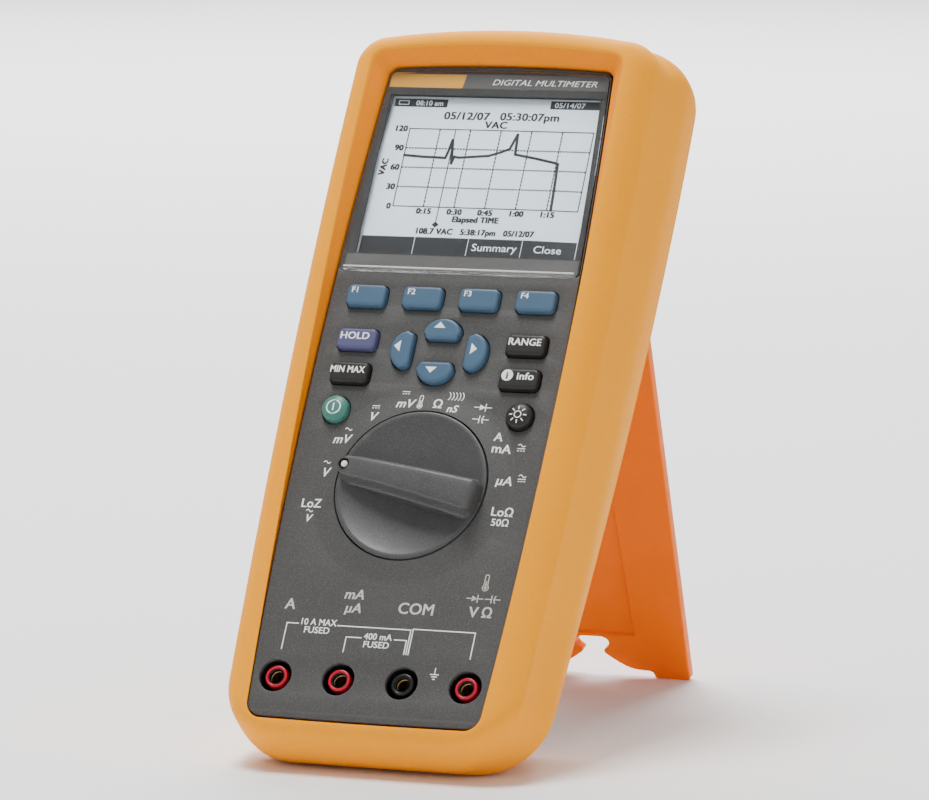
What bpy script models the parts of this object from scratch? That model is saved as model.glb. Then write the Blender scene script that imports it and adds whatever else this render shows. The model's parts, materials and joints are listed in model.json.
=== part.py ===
"""Handheld logging multimeter, leaning back on its folding tilt stand.

The meter is modelled in its own frame and then leaned back as a whole:
  x to the right, y up the face, z out of the face, all in millimetres,
  with the origin on the face, in the middle of the row of input jacks.
The finished object stands on Z = 0, with +Z up and its face towards -Y.
"""
import math

import bmesh
import bpy
from mathutils import Matrix, Vector

MM = 0.001

# ---- how the meter stands
LEAN = math.radians(31.4)       # face, measured back from vertical
FLOOR_DROP = 26.1               # floor below the jack row, when it leans
PIVOT_Y = 166.6                 # stand pivot
PIVOT_Z = -47.0
STAND_LENGTH = 151.6            # pivot to foot
STAND_HALF = 30.4
STAND_THICK = 3.6
PIN_R = 0.85

# ---- face and case
FACE_TOP = 192.6
FACE_LOW = -12.9
PLATE_THICK = 3.2
SEAM_Z = -31.5                  # joint between the front and rear shells
BACK_Z = -49.0
WALL = 2.4                      # overmould wall
GAP = 0.35                      # between neighbouring pieces
SEAM_GAP = 0.3                  # between the front and rear shells
CASE_WALL = 1.9                 # hard plastic wall
RECESS_Z = -44.6                # floor of the recess that the stand folds into

# ---- input jacks
JACK_PITCH = 19.05
JACK_X = [JACK_PITCH * (i - 1.5) for i in range(4)]
JACK_NAMES = ["amps", "milliamps", "common", "volts_ohms"]
JACK_WELL_R = 4.8
JACK_BASE_Z = -22.0
COLLAR_R = 3.3
COLLAR_BORE_R = 2.05

# ---- rotary switch
DIAL_Y = 59.1
DIAL_R = 22.6
DIAL_STEP = math.radians(23.5)
DIAL_POSITIONS = 10
DIAL_SELECTED = 1               # second position from the anticlockwise end
DIAL_SET = math.radians(-3.85)  # the knob's bar against its detent angle
BAR_TOP = 6.8
DOT_AT = 20.4                   # radius of the white dot's centre
FLANGE_TOP = 1.2
SHAFT_R = 5.0

# ---- keys: name, shape, x, y, width, height
KEY_TOP = 1.9
KEY_FLANGE_Z = -3.6
KEY_FLANGE_THICK = 1.0
F_PITCH = 17.35
KEYS = [
    ("key_f1", "bar", -1.5 * F_PITCH, 117.1, 11.9, 6.5),
    ("key_f2", "bar", -0.5 * F_PITCH, 117.1, 11.9, 6.5),
    ("key_f3", "bar", 0.5 * F_PITCH, 117.1, 11.9, 6.5),
    ("key_f4", "bar", 1.5 * F_PITCH, 117.1, 11.9, 6.5),
    ("key_hold", "bar", -25.9, 103.3, 11.9, 6.3),
    ("key_min_max", "bar", -25.9, 92.7, 11.6, 6.3),
    ("key_range", "bar", 25.9, 103.4, 11.9, 6.3),
    ("key_info", "bar", 25.9, 92.8, 11.9, 6.3),
    ("key_up", "arrow_0", -0.2, 107.4, 11.2, 6.5),
    ("key_left", "arrow_90", -11.7, 100.6, 11.6, 6.5),
    ("key_down", "arrow_180", -0.2, 93.8, 11.2, 6.5),
    ("key_right", "arrow_270", 11.3, 100.6, 11.6, 6.5),
    ("key_power", "round", -28.0, 81.4, 8.0, 8.0),
    ("key_backlight", "round", 28.2, 81.6, 7.8, 7.8),
]

# ---- batteries and fuses
CELL_R = 7.1
CELL_LENGTH = 50.2
CELL_PITCH = 14.8
CELL_Z = -34.2
CELL_LOW_Y = 66.2
CELL_HIGH_Y = 117.8
FUSE_R = 5.15
FUSES = [("fuse_high_current", 30.0, 38.1), ("fuse_low_current", 17.4, 34.9)]
FUSE_Z = -35.6
DOOR_LOW = 12.0
DOOR_TOP = 159.0
DOOR_HALF = 24.0


def clear_scene():
    for obj in list(bpy.data.objects):
        bpy.data.objects.remove(obj, do_unlink=True)
    for group in (bpy.data.meshes, bpy.data.materials):
        for item in list(group):
            group.remove(item)


# ---------------------------------------------------------------- helpers

def material(name, color, roughness, metallic=0.0, alpha=1.0):
    mat = bpy.data.materials.new(name)
    mat.use_nodes = True
    shader = mat.node_tree.nodes["Principled BSDF"]
    shader.inputs["Base Color"].default_value = (*color, 1.0)
    shader.inputs["Roughness"].default_value = roughness
    shader.inputs["Metallic"].default_value = metallic
    shader.inputs["Alpha"].default_value = alpha
    return mat


def empty(name, location=(0, 0, 0), rotation_x=0.0, parent=None):
    obj = bpy.data.objects.new(name, None)
    obj.location = Vector(location) * MM
    obj.rotation_euler = (rotation_x, 0.0, 0.0)
    obj.parent = parent
    bpy.context.collection.objects.link(obj)
    return obj


def solid(name, bm, mat, parent, location=(0, 0, 0), smooth_deg=40.0, turn=0.0):
    """Turn a bmesh drawn in millimetres about its own origin into an object."""
    bmesh.ops.recalc_face_normals(bm, faces=bm.faces)
    mesh = bpy.data.meshes.new(name)
    bm.to_mesh(mesh)
    bm.free()
    mesh.transform(Matrix.Scale(MM, 4))
    if mat:
        mesh.materials.append(mat)
    mesh.shade_smooth()
    mesh.set_sharp_from_angle(angle=math.radians(smooth_deg))
    obj = bpy.data.objects.new(name, mesh)
    obj.location = Vector(location) * MM
    obj.rotation_euler = (0.0, 0.0, turn)
    obj.parent = parent
    bpy.context.collection.objects.link(obj)
    return obj


def cut(target, bm, parent, location=(0, 0, 0)):
    """Take every closed body in bm away from the target."""
    cutter = solid("cut_" + target.name, bm, None, parent, location)
    cutter.hide_render = True
    cutter.display_type = "WIRE"
    step = target.modifiers.new("cut", "BOOLEAN")
    step.operation = "DIFFERENCE"
    step.solver = "EXACT"
    step.object = cutter


def join(target, bm, parent, location=(0, 0, 0)):
    """Weld the closed bodies in bm onto the target."""
    extra = solid("add_" + target.name, bm, None, parent, location)
    extra.hide_render = True
    extra.display_type = "WIRE"
    step = target.modifiers.new("join", "BOOLEAN")
    step.operation = "UNION"
    step.solver = "EXACT"
    step.object = extra


def add_rings(bm, rings, closed=False):
    """Skin a run of rings that all hold the same number of points.

    The diagonals always run the same way between the same two heights, so that
    one shell's outside and its neighbour's inside stay parallel.
    """
    rows = [[bm.verts.new(p) for p in ring] for ring in rings]
    count = len(rows[0])
    pairs = list(zip(rows, rows[1:]))
    if closed:
        pairs.append((rows[-1], rows[0]))
    for low, high in pairs:
        downward = sum(v.co.z for v in low) > sum(v.co.z for v in high)
        for i in range(count):
            j = (i + 1) % count
            if downward:
                bm.faces.new((low[i], low[j], high[j]))
                bm.faces.new((low[i], high[j], high[i]))
            else:
                bm.faces.new((low[i], low[j], high[i]))
                bm.faces.new((low[j], high[j], high[i]))
    if not closed:
        bm.faces.new(list(reversed(rows[0])))
        bm.faces.new(rows[-1])
    return bm


def add_block(bm, low, high):
    """A plain box between two corners."""
    centre = (Vector(low) + Vector(high)) / 2
    span = Vector(high) - Vector(low)
    place = Matrix.Translation(centre) @ Matrix.Diagonal((*span, 1.0))
    bmesh.ops.create_cube(bm, size=1.0, matrix=place)
    return bm


def add_turned(bm, profile, sides=24, centre=(0, 0, 0), axis="Z"):
    """Turn (radius, height) points about an axis; the profile closes on itself or on the axis."""
    swing = {"Z": Matrix.Identity(3), "X": Matrix.Rotation(math.pi / 2, 3, "Y"),
             "Y": Matrix.Rotation(-math.pi / 2, 3, "X")}[axis]
    rows = []
    for radius, height in profile:
        if radius < 1e-6:
            rows.append([bm.verts.new(swing @ Vector((0, 0, height)) + Vector(centre))])
            continue
        ring = []
        for i in range(sides):
            angle = 2 * math.pi * i / sides
            point = Vector((radius * math.cos(angle), radius * math.sin(angle), height))
            ring.append(bm.verts.new(swing @ point + Vector(centre)))
        rows.append(ring)
    pairs = list(zip(rows, rows[1:]))
    if len(rows[0]) > 1:
        pairs.append((rows[-1], rows[0]))
    for low, high in pairs:
        for i in range(sides):
            j = (i + 1) % sides
            corners = [low[i % len(low)], low[j % len(low)], high[j % len(high)], high[i % len(high)]]
            kept = [v for k, v in enumerate(corners) if v is not corners[k - 1]]
            bm.faces.new(kept)
    return bm


def disc_profile(radius, low, high, edge=0.0):
    """Profile of a solid disc, with an optional chamfer round its upper edge."""
    points = [(0, low), (radius, low)]
    if edge:
        points += [(radius, high - edge), (radius - edge, high)]
    else:
        points += [(radius, high)]
    return points + [(0, high)]


def tube_profile(outer, inner, low, high):
    return [(inner, low), (outer, low), (outer, high), (inner, high)]


def rounded_rectangle(width, height, radius, arc_steps=2):
    """Anticlockwise corner arcs about the origin."""
    points = []
    for turn, sx, sy in ((0, 1, 1), (1, -1, 1), (2, -1, -1), (3, 1, -1)):
        for k in range(arc_steps + 1):
            angle = (turn + k / arc_steps) * math.pi / 2
            x = sx * (width / 2 - radius) + radius * math.cos(angle)
            y = sy * (height / 2 - radius) + radius * math.sin(angle)
            points.append((x, y))
    return points


# ---------------------------------------------------------------- shell outlines

def side_curve(widest, taper, widest_y):
    """Half width of the case along y: widest at widest_y, drawing in as a parabola."""
    return lambda y: widest - taper * ((y - widest_y) / 100.0) ** 2


def lift(y):
    """Height of the rim's crest above the face: it rises towards the display."""
    t = min(max((y + 8.0) / 205.0, 0.0), 1.0)
    return 0.4 + 5.2 * t * t * (3 - 2 * t)


def outline(half, low, top, r_low, r_top, arch_low, arch_top, side_steps=4, corner_steps=5, end_steps=2):
    """Right half of a case outline, from the middle of its low end to the middle of its top."""
    y_low = low + arch_low + r_low
    y_top = top - arch_top - r_top
    w_low = half(y_low)
    w_top = half(y_top)
    points = []
    for k in range(end_steps):
        x = (w_low - r_low) * k / end_steps
        points.append((x, low + arch_low * (x / w_low) ** 2))
    for k in range(corner_steps + 1):
        angle = math.pi / 2 * k / corner_steps
        x = w_low - r_low + r_low * math.sin(angle)
        points.append((x, low + arch_low * (x / w_low) ** 2 + r_low * (1 - math.cos(angle))))
    for k in range(1, side_steps):
        y = y_low + (y_top - y_low) * k / side_steps
        points.append((half(y), y))
    for k in range(corner_steps + 1):
        angle = math.pi / 2 * k / corner_steps
        x = w_top - r_top + r_top * math.cos(angle)
        points.append((x, top - arch_top * (x / w_top) ** 2 - r_top * (1 - math.sin(angle))))
    for k in range(end_steps - 1, -1, -1):
        x = (w_top - r_top) * k / end_steps
        points.append((x, top - arch_top * (x / w_top) ** 2))
    return points


def ring(section, inset=0.0, z=None):
    """A whole ring of one station of the case, drawn in by inset."""
    curve = side_curve(section["half"] - inset, section["taper"], section["widest_y"])
    r_low = max(section["r_low"] - inset, 1.0)
    r_top = max(section["r_top"] - inset, 1.0)
    right = outline(curve, section["low"] + inset, section["top"] - inset, r_low, r_top,
                    section["arch_low"], section["arch_top"])
    flat = right + [(-x, y) for x, y in reversed(right[1:-1])]
    base = section["z"] if z is None else z
    rise = section["rise"] if z is None else 0.0
    return [(x, y, base + rise * lift(y)) for x, y in flat]


def station(z, half, taper, widest_y, low, top, r_low, r_top, arch_low, arch_top, rise=0.0):
    return {"z": z, "half": half, "taper": taper, "widest_y": widest_y, "low": low, "top": top,
            "r_low": r_low, "r_top": r_top, "arch_low": arch_low, "arch_top": arch_top, "rise": rise}


def blend(a, b, t):
    return {key: a[key] + (b[key] - a[key]) * t for key in a}


def foot_line(z):
    """y of the plane that the case rests on, at depth z."""
    return -(FLOOR_DROP + z * math.sin(LEAN)) / math.cos(LEAN)


OPENING = station(-0.2, 38.4, 3.2, 85.0, FACE_LOW, FACE_TOP, 4.6, 3.0, 0.3, 1.2)
CREST_IN = station(0.0, 39.5, 1.6, 150.0, FACE_LOW - 0.5, 197.5, 5.4, 6.0, 0.3, 3.1, rise=1.0)
CREASE = station(-5.0, 47.4, 1.6, 135.0, -19.0, 205.1, 19.0, 8.5, 0.6, 4.6, rise=0.45)
BELLY = station(-10.0, 48.5, 1.9, 140.0, -20.8, 206.7, 21.0, 10.5, 0.4, 4.8)
FLANK = station(-15.0, 49.5, 1.9, 142.0, -19.9, 208.4, 21.0, 9.5, 0.2, 4.8)
FOOT_FRONT = station(-22.0, 50.3, 1.6, 148.0, foot_line(-22.0), 208.9, 19.0, 8.6, 0.0, 4.8)
SEAM = station(SEAM_Z, 49.3, 2.5, 160.0, foot_line(SEAM_Z), 208.2, 19.5, 8.0, 0.0, 4.8)
FOOT_BACK = station(-36.0, 47.8, 2.8, 165.0, foot_line(-36.0), 206.2, 20.0, 11.0, 0.0, 4.8)
HEEL = station(-42.0, 45.2, 2.9, 168.0, -4.0, 202.6, 19.0, 14.0, 0.0, 4.6)
CHAMFER = station(-46.6, 42.0, 2.7, 168.0, 1.6, 198.0, 17.0, 13.0, 0.0, 4.2)
BACK = station(BACK_Z, 37.6, 2.5, 168.0, 6.4, 192.6, 14.0, 11.0, 0.0, 3.6)
REAR_SEAM = blend(SEAM, FOOT_BACK, SEAM_GAP / (SEAM["z"] - FOOT_BACK["z"]))


def rim_rings():
    """Convex rim from the crest's inner edge out to the crease."""
    sweep = math.radians(62.0)
    rings = []
    for k in range(1, 4):
        angle = sweep * k / 4
        out = math.sin(angle) / math.sin(sweep)
        down = (1 - math.cos(angle)) / (1 - math.cos(sweep))
        section = blend(CREST_IN, CREASE, out)
        section["z"] = CREST_IN["z"] + (CREASE["z"] - CREST_IN["z"]) * down
        section["rise"] = CREST_IN["rise"] + (CREASE["rise"] - CREST_IN["rise"]) * down
        rings.append(ring(section))
    return rings


# ---------------------------------------------------------------- shells

def front_overmould(meter, mat):
    """Soft surround: rim round the face, flanks, and a wall down to the seam."""
    rings = [ring(OPENING, z=-2.4), ring(OPENING), ring(CREST_IN)]
    rings += rim_rings()
    rings += [ring(CREASE), ring(BELLY), ring(FLANK), ring(FOOT_FRONT), ring(SEAM)]
    rings += [ring(SEAM, WALL), ring(FOOT_FRONT, WALL), ring(FLANK, WALL), ring(BELLY, WALL)]
    rings += [ring(BELLY, WALL + 0.6, z=-6.0), ring(CREASE, WALL + 1.2, z=-2.4)]
    return solid("front_overmould", add_rings(bmesh.new(), rings, closed=True), mat, meter)


def front_case(meter, mat):
    """Hard front case: the face plate, a flange under the surround, and a skirt to the seam."""
    out = WALL + GAP
    inner = out + CASE_WALL
    rings = [ring(OPENING, GAP, z=0.0), ring(OPENING, GAP, z=-2.4 - GAP)]
    rings += [ring(CREASE, out + 1.5, z=-2.4 - GAP), ring(BELLY, out + 0.9, z=-6.0), ring(BELLY, out)]
    rings += [ring(FLANK, out), ring(FOOT_FRONT, out), ring(SEAM, out)]
    rings += [ring(SEAM, inner), ring(FOOT_FRONT, inner), ring(FLANK, inner), ring(BELLY, inner)]
    rings += [ring(BELLY, inner + 2.0, z=-5.0), ring(OPENING, GAP + 2.4, z=-5.0)]
    rings += [ring(OPENING, GAP + 2.4, z=-PLATE_THICK)]
    case = solid("front_case", add_rings(bmesh.new(), rings), mat, meter)
    cut(case, add_block(bmesh.new(), (-34.0, 129.4, -6.0), (34.0, 183.2, 1.0)), meter)
    cuts = bmesh.new()
    add_rings(cuts, [ring(WINDOW, -0.3, z=-2.0), ring(WINDOW, -0.3, z=1.0)])
    pocket = [(0, -6.0), (SHAFT_R + 0.4, -6.0), (SHAFT_R + 0.4, -2.2), (DIAL_R + 0.35, -2.2),
              (DIAL_R + 0.35, 1.0), (0, 1.0)]
    add_turned(cuts, pocket, 36, (0, DIAL_Y, 0))
    for x in JACK_X:
        add_turned(cuts, disc_profile(JACK_WELL_R, -6.0, 1.0), 16, (x, 0, 0))
    for name, shape, x, y, width, height in KEYS:
        hole = key_shape(shape, width + 0.7, height + 0.7)
        add_rings(cuts, [[(x + px, y + py, z) for px, py in hole] for z in (-4.5, 1.0)])
    cut(case, cuts, meter)
    return case


def rear_overmould(meter, mat):
    """Soft rear shell: heel, back, and the long opening that the stand folds into."""
    rings = [ring(REAR_SEAM), ring(FOOT_BACK), ring(HEEL), ring(CHAMFER), ring(BACK)]
    opening = rounded_end_ring(31.0, 11.2, 171.4, 3.0, BACK_Z)
    rings += [opening, [(x, y, RECESS_Z - GAP) for x, y, z in opening]]
    rings += [ring(BACK, 0.5, z=RECESS_Z - GAP), ring(HEEL, WALL), ring(FOOT_BACK, WALL)]
    rings += [ring(REAR_SEAM, WALL)]
    shell = solid("rear_overmould", add_rings(bmesh.new(), rings, closed=True), mat, meter)
    cuts = bmesh.new()
    for side in (-1, 1):
        add_turned(cuts, disc_profile(PIN_R + 0.3, -2.4, 2.4), 12, (side * 32.4, PIVOT_Y, PIVOT_Z), "X")
    cut(shell, cuts, meter)
    return shell


def rounded_end_ring(half, low, top, radius, z):
    """Opening in the back, with the same number of points as a case ring."""
    right = outline(lambda y: half, low, top, radius, radius, 0.0, 0.0)
    return [(x, y, z) for x, y in right + [(-x, y) for x, y in reversed(right[1:-1])]]


def rear_case(meter, mat):
    """Hard rear tub inside the soft shell; its floor closes the recess and carries the door."""
    out = WALL + GAP
    inner = out + CASE_WALL
    rings = [ring(REAR_SEAM, out), ring(FOOT_BACK, out), ring(HEEL, out), ring(BACK, 1.2, z=RECESS_Z)]
    rings += [ring(BACK, 3.0, z=RECESS_Z + 2.0), ring(HEEL, inner + 0.6), ring(FOOT_BACK, inner)]
    rings += [ring(REAR_SEAM, inner)]
    rings = rings[4:] + rings[:4]
    case = solid("rear_case", add_rings(bmesh.new(), rings), mat, meter)
    cuts = bmesh.new()
    add_block(cuts, (-DOOR_HALF, DOOR_LOW, RECESS_Z - 1), (DOOR_HALF, DOOR_TOP, RECESS_Z + 3))
    for x, y in SCREW_SPOTS:
        profile = [(0, RECESS_Z - 1), (2.85, RECESS_Z - 1), (2.85, RECESS_Z + 1.0), (1.5, RECESS_Z + 1.0),
                   (1.5, RECESS_Z + 3), (0, RECESS_Z + 3)]
        add_turned(cuts, profile, 12, (x, y, 0))
    cut(case, cuts, meter)
    return case


SCREW_SPOTS = [(-27.6, 22.0), (27.6, 22.0), (-27.6, 163.0), (27.6, 163.0)]


def case_screws(meter, mat):
    """Four long screws that draw the halves together, heads in the recess floor."""
    under_head = RECESS_Z + 0.7
    for number, (x, y) in enumerate(SCREW_SPOTS, 1):
        profile = [(0, RECESS_Z - 0.2), (2.2, RECESS_Z - 0.2), (2.5, RECESS_Z + 0.1), (2.5, under_head),
                   (1.15, under_head), (1.15, -30.5), (0, -29.5)]
        solid("case_screw_%d" % number, add_turned(bmesh.new(), profile, 12), mat, meter, (x, y, 0))


# ---------------------------------------------------------------- display

WINDOW = station(0.0, 37.3, 3.2, 85.0, 125.6, 190.6, 1.6, 2.2, 0.0, 0.8)


def display(meter, mats):
    """Clear window, its gasket, the display glass close behind it, its light guide and its frame."""
    rings = [ring(WINDOW, 0.0, z=-0.9), ring(WINDOW, 0.0, z=0.35), ring(WINDOW, 0.9, z=0.95)]
    solid("display_window", add_rings(bmesh.new(), rings), mats["window"], meter)
    rings = [ring(WINDOW, 0.4, z=-1.7), ring(WINDOW, 0.4, z=-1.2), ring(WINDOW, 2.1, z=-1.2),
             ring(WINDOW, 2.1, z=-1.7)]
    solid("window_gasket", add_rings(bmesh.new(), rings, closed=True), mats["seal"], meter)

    bm = bmesh.new()
    add_block(bm, (-33.7, 129.8, -4.4), (33.7, 182.9, -2.6))
    solid("lcd_panel", bm, mats["lcd"], meter)
    bm = bmesh.new()
    add_block(bm, (-33.4, 130.1, -7.2), (33.4, 182.6, -4.8))
    solid("lcd_light_guide", bm, mats["guide"], meter)
    bm = bmesh.new()
    add_block(bm, (-37.6, 126.6, -6.0), (37.6, 186.4, -5.35))
    frame = solid("display_frame", bm, mats["dark"], meter)
    hole = bmesh.new()
    add_block(hole, (-34.0, 129.5, -8.0), (34.0, 183.2, -4.0))
    cut(frame, hole, meter)


# ---------------------------------------------------------------- keys

def key_shape(shape, width, height):
    """Plan of a key about its middle."""
    if shape == "bar":
        return rounded_rectangle(width, height, 1.5)
    if shape == "round":
        sides = 12
        return [(width / 2 * math.cos(2 * math.pi * k / sides), height / 2 * math.sin(2 * math.pi * k / sides))
                for k in range(sides)]
    steps = 8
    shoulder = 1.4
    points = [(-width / 2 + 1.0, -height / 2), (width / 2 - 1.0, -height / 2)]
    for k in range(steps + 1):
        angle = math.pi * k / steps
        points.append((width / 2 * math.cos(angle), -height / 2 + shoulder + (height - shoulder) * math.sin(angle)))
    turn = math.radians(float(shape.split("_")[1]))
    return [(x * math.cos(turn) - y * math.sin(turn), x * math.sin(turn) + y * math.cos(turn))
            for x, y in points]


def keys(meter, mats):
    """Fourteen caps, each with a flange under the plate that keeps it in."""
    for name, shape, x, y, width, height in KEYS:
        flange = key_shape(shape, width + 2.2, height + 2.2)
        stem = key_shape(shape, width, height)
        crown = key_shape(shape, width - 1.6, height - 1.6)
        dome = 0.7 if shape == "round" else 0.0
        levels = [(flange, KEY_FLANGE_Z - KEY_FLANGE_THICK), (flange, KEY_FLANGE_Z), (stem, KEY_FLANGE_Z),
                  (stem, KEY_TOP - 0.7), (crown, KEY_TOP + dome)]
        rings = [[(px, py, z) for px, py in plan] for plan, z in levels]
        solid(name, add_rings(bmesh.new(), rings), mats[name], meter, (x, y, 0.0))


def keypad_mat(meter, mat):
    """Rubber sheet with the contact pads, cut away round the rotary switch."""
    bm = bmesh.new()
    add_block(bm, (-35.0, 76.0, -6.9), (35.0, 122.4, -6.1))
    sheet = solid("keypad_mat", bm, mat, meter)
    hole = bmesh.new()
    add_turned(hole, disc_profile(20.6, -8.0, -5.0), 24, (0, DIAL_Y, 0))
    cut(sheet, hole, meter)


# ---------------------------------------------------------------- rotary switch

def dial(meter, mats):
    """Knob with a dished disc and a tapered pointer bar, on the rotor that it turns."""
    axle = empty("dial_axis", (0, DIAL_Y, 0), 0.0, meter)
    middle = (DIAL_POSITIONS - 1) / 2
    pointer = math.pi / 2 + DIAL_STEP * (middle - DIAL_SELECTED) + DIAL_SET

    dish_r = DIAL_R - 1.5
    profile = [(0, -6.6), (SHAFT_R, -6.6), (SHAFT_R, -1.9), (DIAL_R, -1.9), (DIAL_R, FLANGE_TOP - 0.3),
               (DIAL_R - 0.3, FLANGE_TOP), (dish_r, FLANGE_TOP)]
    for share in (0.85, 0.55, 0.25):
        profile.append((dish_r * share, FLANGE_TOP - 2.0 * (1 - share ** 2)))
    profile.append((0, FLANGE_TOP - 2.0))
    knob = solid("dial_knob", add_turned(bmesh.new(), profile, 32), mats["knob"], axle, turn=pointer)

    # pointer bar along +x of the knob: low and narrow at the dot, high and wide at the grip
    sections = [(22.4, 1.6, 3.0), (22.0, 2.4, 3.9), (18.0, 2.9, 4.8), (8.0, 3.2, 6.0), (-4.0, 3.7, BAR_TOP),
                (-20.0, 4.4, BAR_TOP), (-21.5, 4.0, BAR_TOP - 1.0)]
    bars = bmesh.new()
    rings = []
    for x, half, top in sections:
        rings.append([(x, -half - 1.2, -0.9), (x, half + 1.2, -0.9), (x, half + 0.9, top - 2.6), (x, half, top - 0.4),
                      (x, half - 0.6, top), (x, -half + 0.6, top), (x, -half, top - 0.4),
                      (x, -half - 0.9, top - 2.6)])
    add_rings(bars, rings)
    grip = solid("add_dial_knob", bars, None, axle, turn=pointer)
    grip.hide_render = True
    grip.display_type = "WIRE"
    weld = knob.modifiers.new("join", "BOOLEAN")
    weld.operation = "UNION"
    weld.solver = "EXACT"
    weld.object = grip
    pit = solid("cut_dial_knob", add_turned(bmesh.new(), disc_profile(1.5, 2.6, 6.0), 12, (DOT_AT, 0, 0)), None,
                axle, turn=pointer)
    pit.hide_render = True
    pit.display_type = "WIRE"
    bite = knob.modifiers.new("cut", "BOOLEAN")
    bite.operation = "DIFFERENCE"
    bite.solver = "EXACT"
    bite.object = pit

    dot = add_turned(bmesh.new(), disc_profile(1.1, 2.9, 4.5), 12, (DOT_AT, 0, 0))
    solid("dial_pointer_dot", dot, mats["white"], axle, turn=pointer)
    rotor = add_turned(bmesh.new(), tube_profile(17.5, SHAFT_R + 0.3, -6.4, -4.6), 32)
    solid("switch_rotor", rotor, mats["rotor"], axle)

    seal = add_turned(bmesh.new(), tube_profile(8.2, SHAFT_R + 0.5, -3.9, -3.5), 24, (0, DIAL_Y, 0))
    solid("dial_seal", seal, mats["seal"], meter)
    leaf = add_turned(bmesh.new(), tube_profile(14.5, 12.0, -4.1, -3.6), 28, (0, DIAL_Y, 0))
    solid("detent_spring", leaf, mats["steel"], meter)


# ---------------------------------------------------------------- input jacks

def jacks(meter, mats):
    """Black block with four shrouded wells, a coloured tube and a brass contact in each."""
    bm = bmesh.new()
    add_block(bm, (-34.8, -6.2, JACK_BASE_Z), (34.8, 6.6, -5.35))
    block = solid("jack_block", bm, mats["dark"], meter)
    wells = bmesh.new()
    for x in JACK_X:
        floor = JACK_BASE_Z + 4.5
        profile = [(0, JACK_BASE_Z - 1), (COLLAR_R + 0.3, JACK_BASE_Z - 1), (COLLAR_R + 0.3, floor),
                   (JACK_WELL_R, floor), (JACK_WELL_R, -2), (0, -2)]
        add_turned(wells, profile, 16, (x, 0, 0))
    cut(block, wells, meter)
    for x, label in zip(JACK_X, JACK_NAMES):
        tube = [(2.8, JACK_BASE_Z + 0.2), (COLLAR_R, JACK_BASE_Z + 0.2), (COLLAR_R, -0.7),
                (COLLAR_BORE_R, -0.7), (COLLAR_BORE_R, -2.4), (2.8, -2.4)]
        color = mats["black_collar"] if label == "common" else mats["red_collar"]
        solid("jack_collar_" + label, add_turned(bmesh.new(), tube, 16), color, meter, (x, 0, 0))
        pin = [(0, JACK_BASE_Z - 3.4), (2.5, JACK_BASE_Z), (2.5, -2.8), (2.1, -2.8), (2.1, JACK_BASE_Z + 1),
               (0, JACK_BASE_Z + 1)]
        solid("jack_contact_" + label, add_turned(bmesh.new(), pin, 12), mats["brass"], meter, (x, 0, 0))


# ---------------------------------------------------------------- board, cells and fuses

def main_board(meter, mat):
    bm = bmesh.new()
    add_block(bm, (-38.0, 12.0, -12.0), (38.0, 124.0, -10.4))
    solid("main_board", bm, mat, meter)


def open_tray(name, low, high, wall, floor, mat, parent):
    """Box open towards the back, with a floor on its inner side."""
    bm = bmesh.new()
    add_block(bm, low, high)
    tray = solid(name, bm, mat, parent)
    hollow = bmesh.new()
    add_block(hollow, (low[0] + wall, low[1] + wall, low[2] - 2.0), (high[0] - wall, high[1] - wall, high[2] - floor))
    cut(tray, hollow, parent)
    return tray


def power(meter, mats):
    """Six cells in their bay, the contact plates, and two fuses in a bay of their own."""
    mouth = RECESS_Z + 2.35
    open_tray("battery_bay", (-24.3, 37.6, mouth), (24.3, 146.4, -24.8), 1.5, 1.6, mats["dark"], meter)
    for row, y in (("low", CELL_LOW_Y), ("high", CELL_HIGH_Y)):
        for column in range(3):
            x = CELL_PITCH * (column - 1)
            flip = -1 if (column % 2 == 0) else 1
            end = CELL_LENGTH / 2
            profile = [(0, -end), (CELL_R, -end), (CELL_R, end - 1.3), (2.7, end - 1.3), (2.7, end), (0, end)]
            profile = [(r, flip * h) for r, h in profile]
            body = add_turned(bmesh.new(), profile, 14, axis="Y")
            name = "battery_cell_%s_%d" % (row, column + 1)
            solid(name, body, mats["cell"], meter, (x, y, CELL_Z))
    for name, y in (("battery_contacts_low", 39.9), ("battery_contacts_high", 144.1)):
        bm = bmesh.new()
        add_block(bm, (-22.0, y - 0.3, -41.0), (22.0, y + 0.3, -27.4))
        solid(name, bm, mats["steel"], meter)

    open_tray("fuse_holder", (-24.3, 10.6, mouth), (24.3, 37.0, -28.6), 1.5, 1.6, mats["dark"], meter)
    for name, y, length in FUSES:
        end = length / 2
        cap = 9.5
        profile = [(0, -end), (FUSE_R, -end), (FUSE_R, -end + cap), (FUSE_R - 0.4, -end + cap),
                   (FUSE_R - 0.4, end - cap), (FUSE_R, end - cap), (FUSE_R, end), (0, end)]
        solid(name, add_turned(bmesh.new(), profile, 12, axis="X"), mats["fuse"], meter, (0, y, FUSE_Z))


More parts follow.
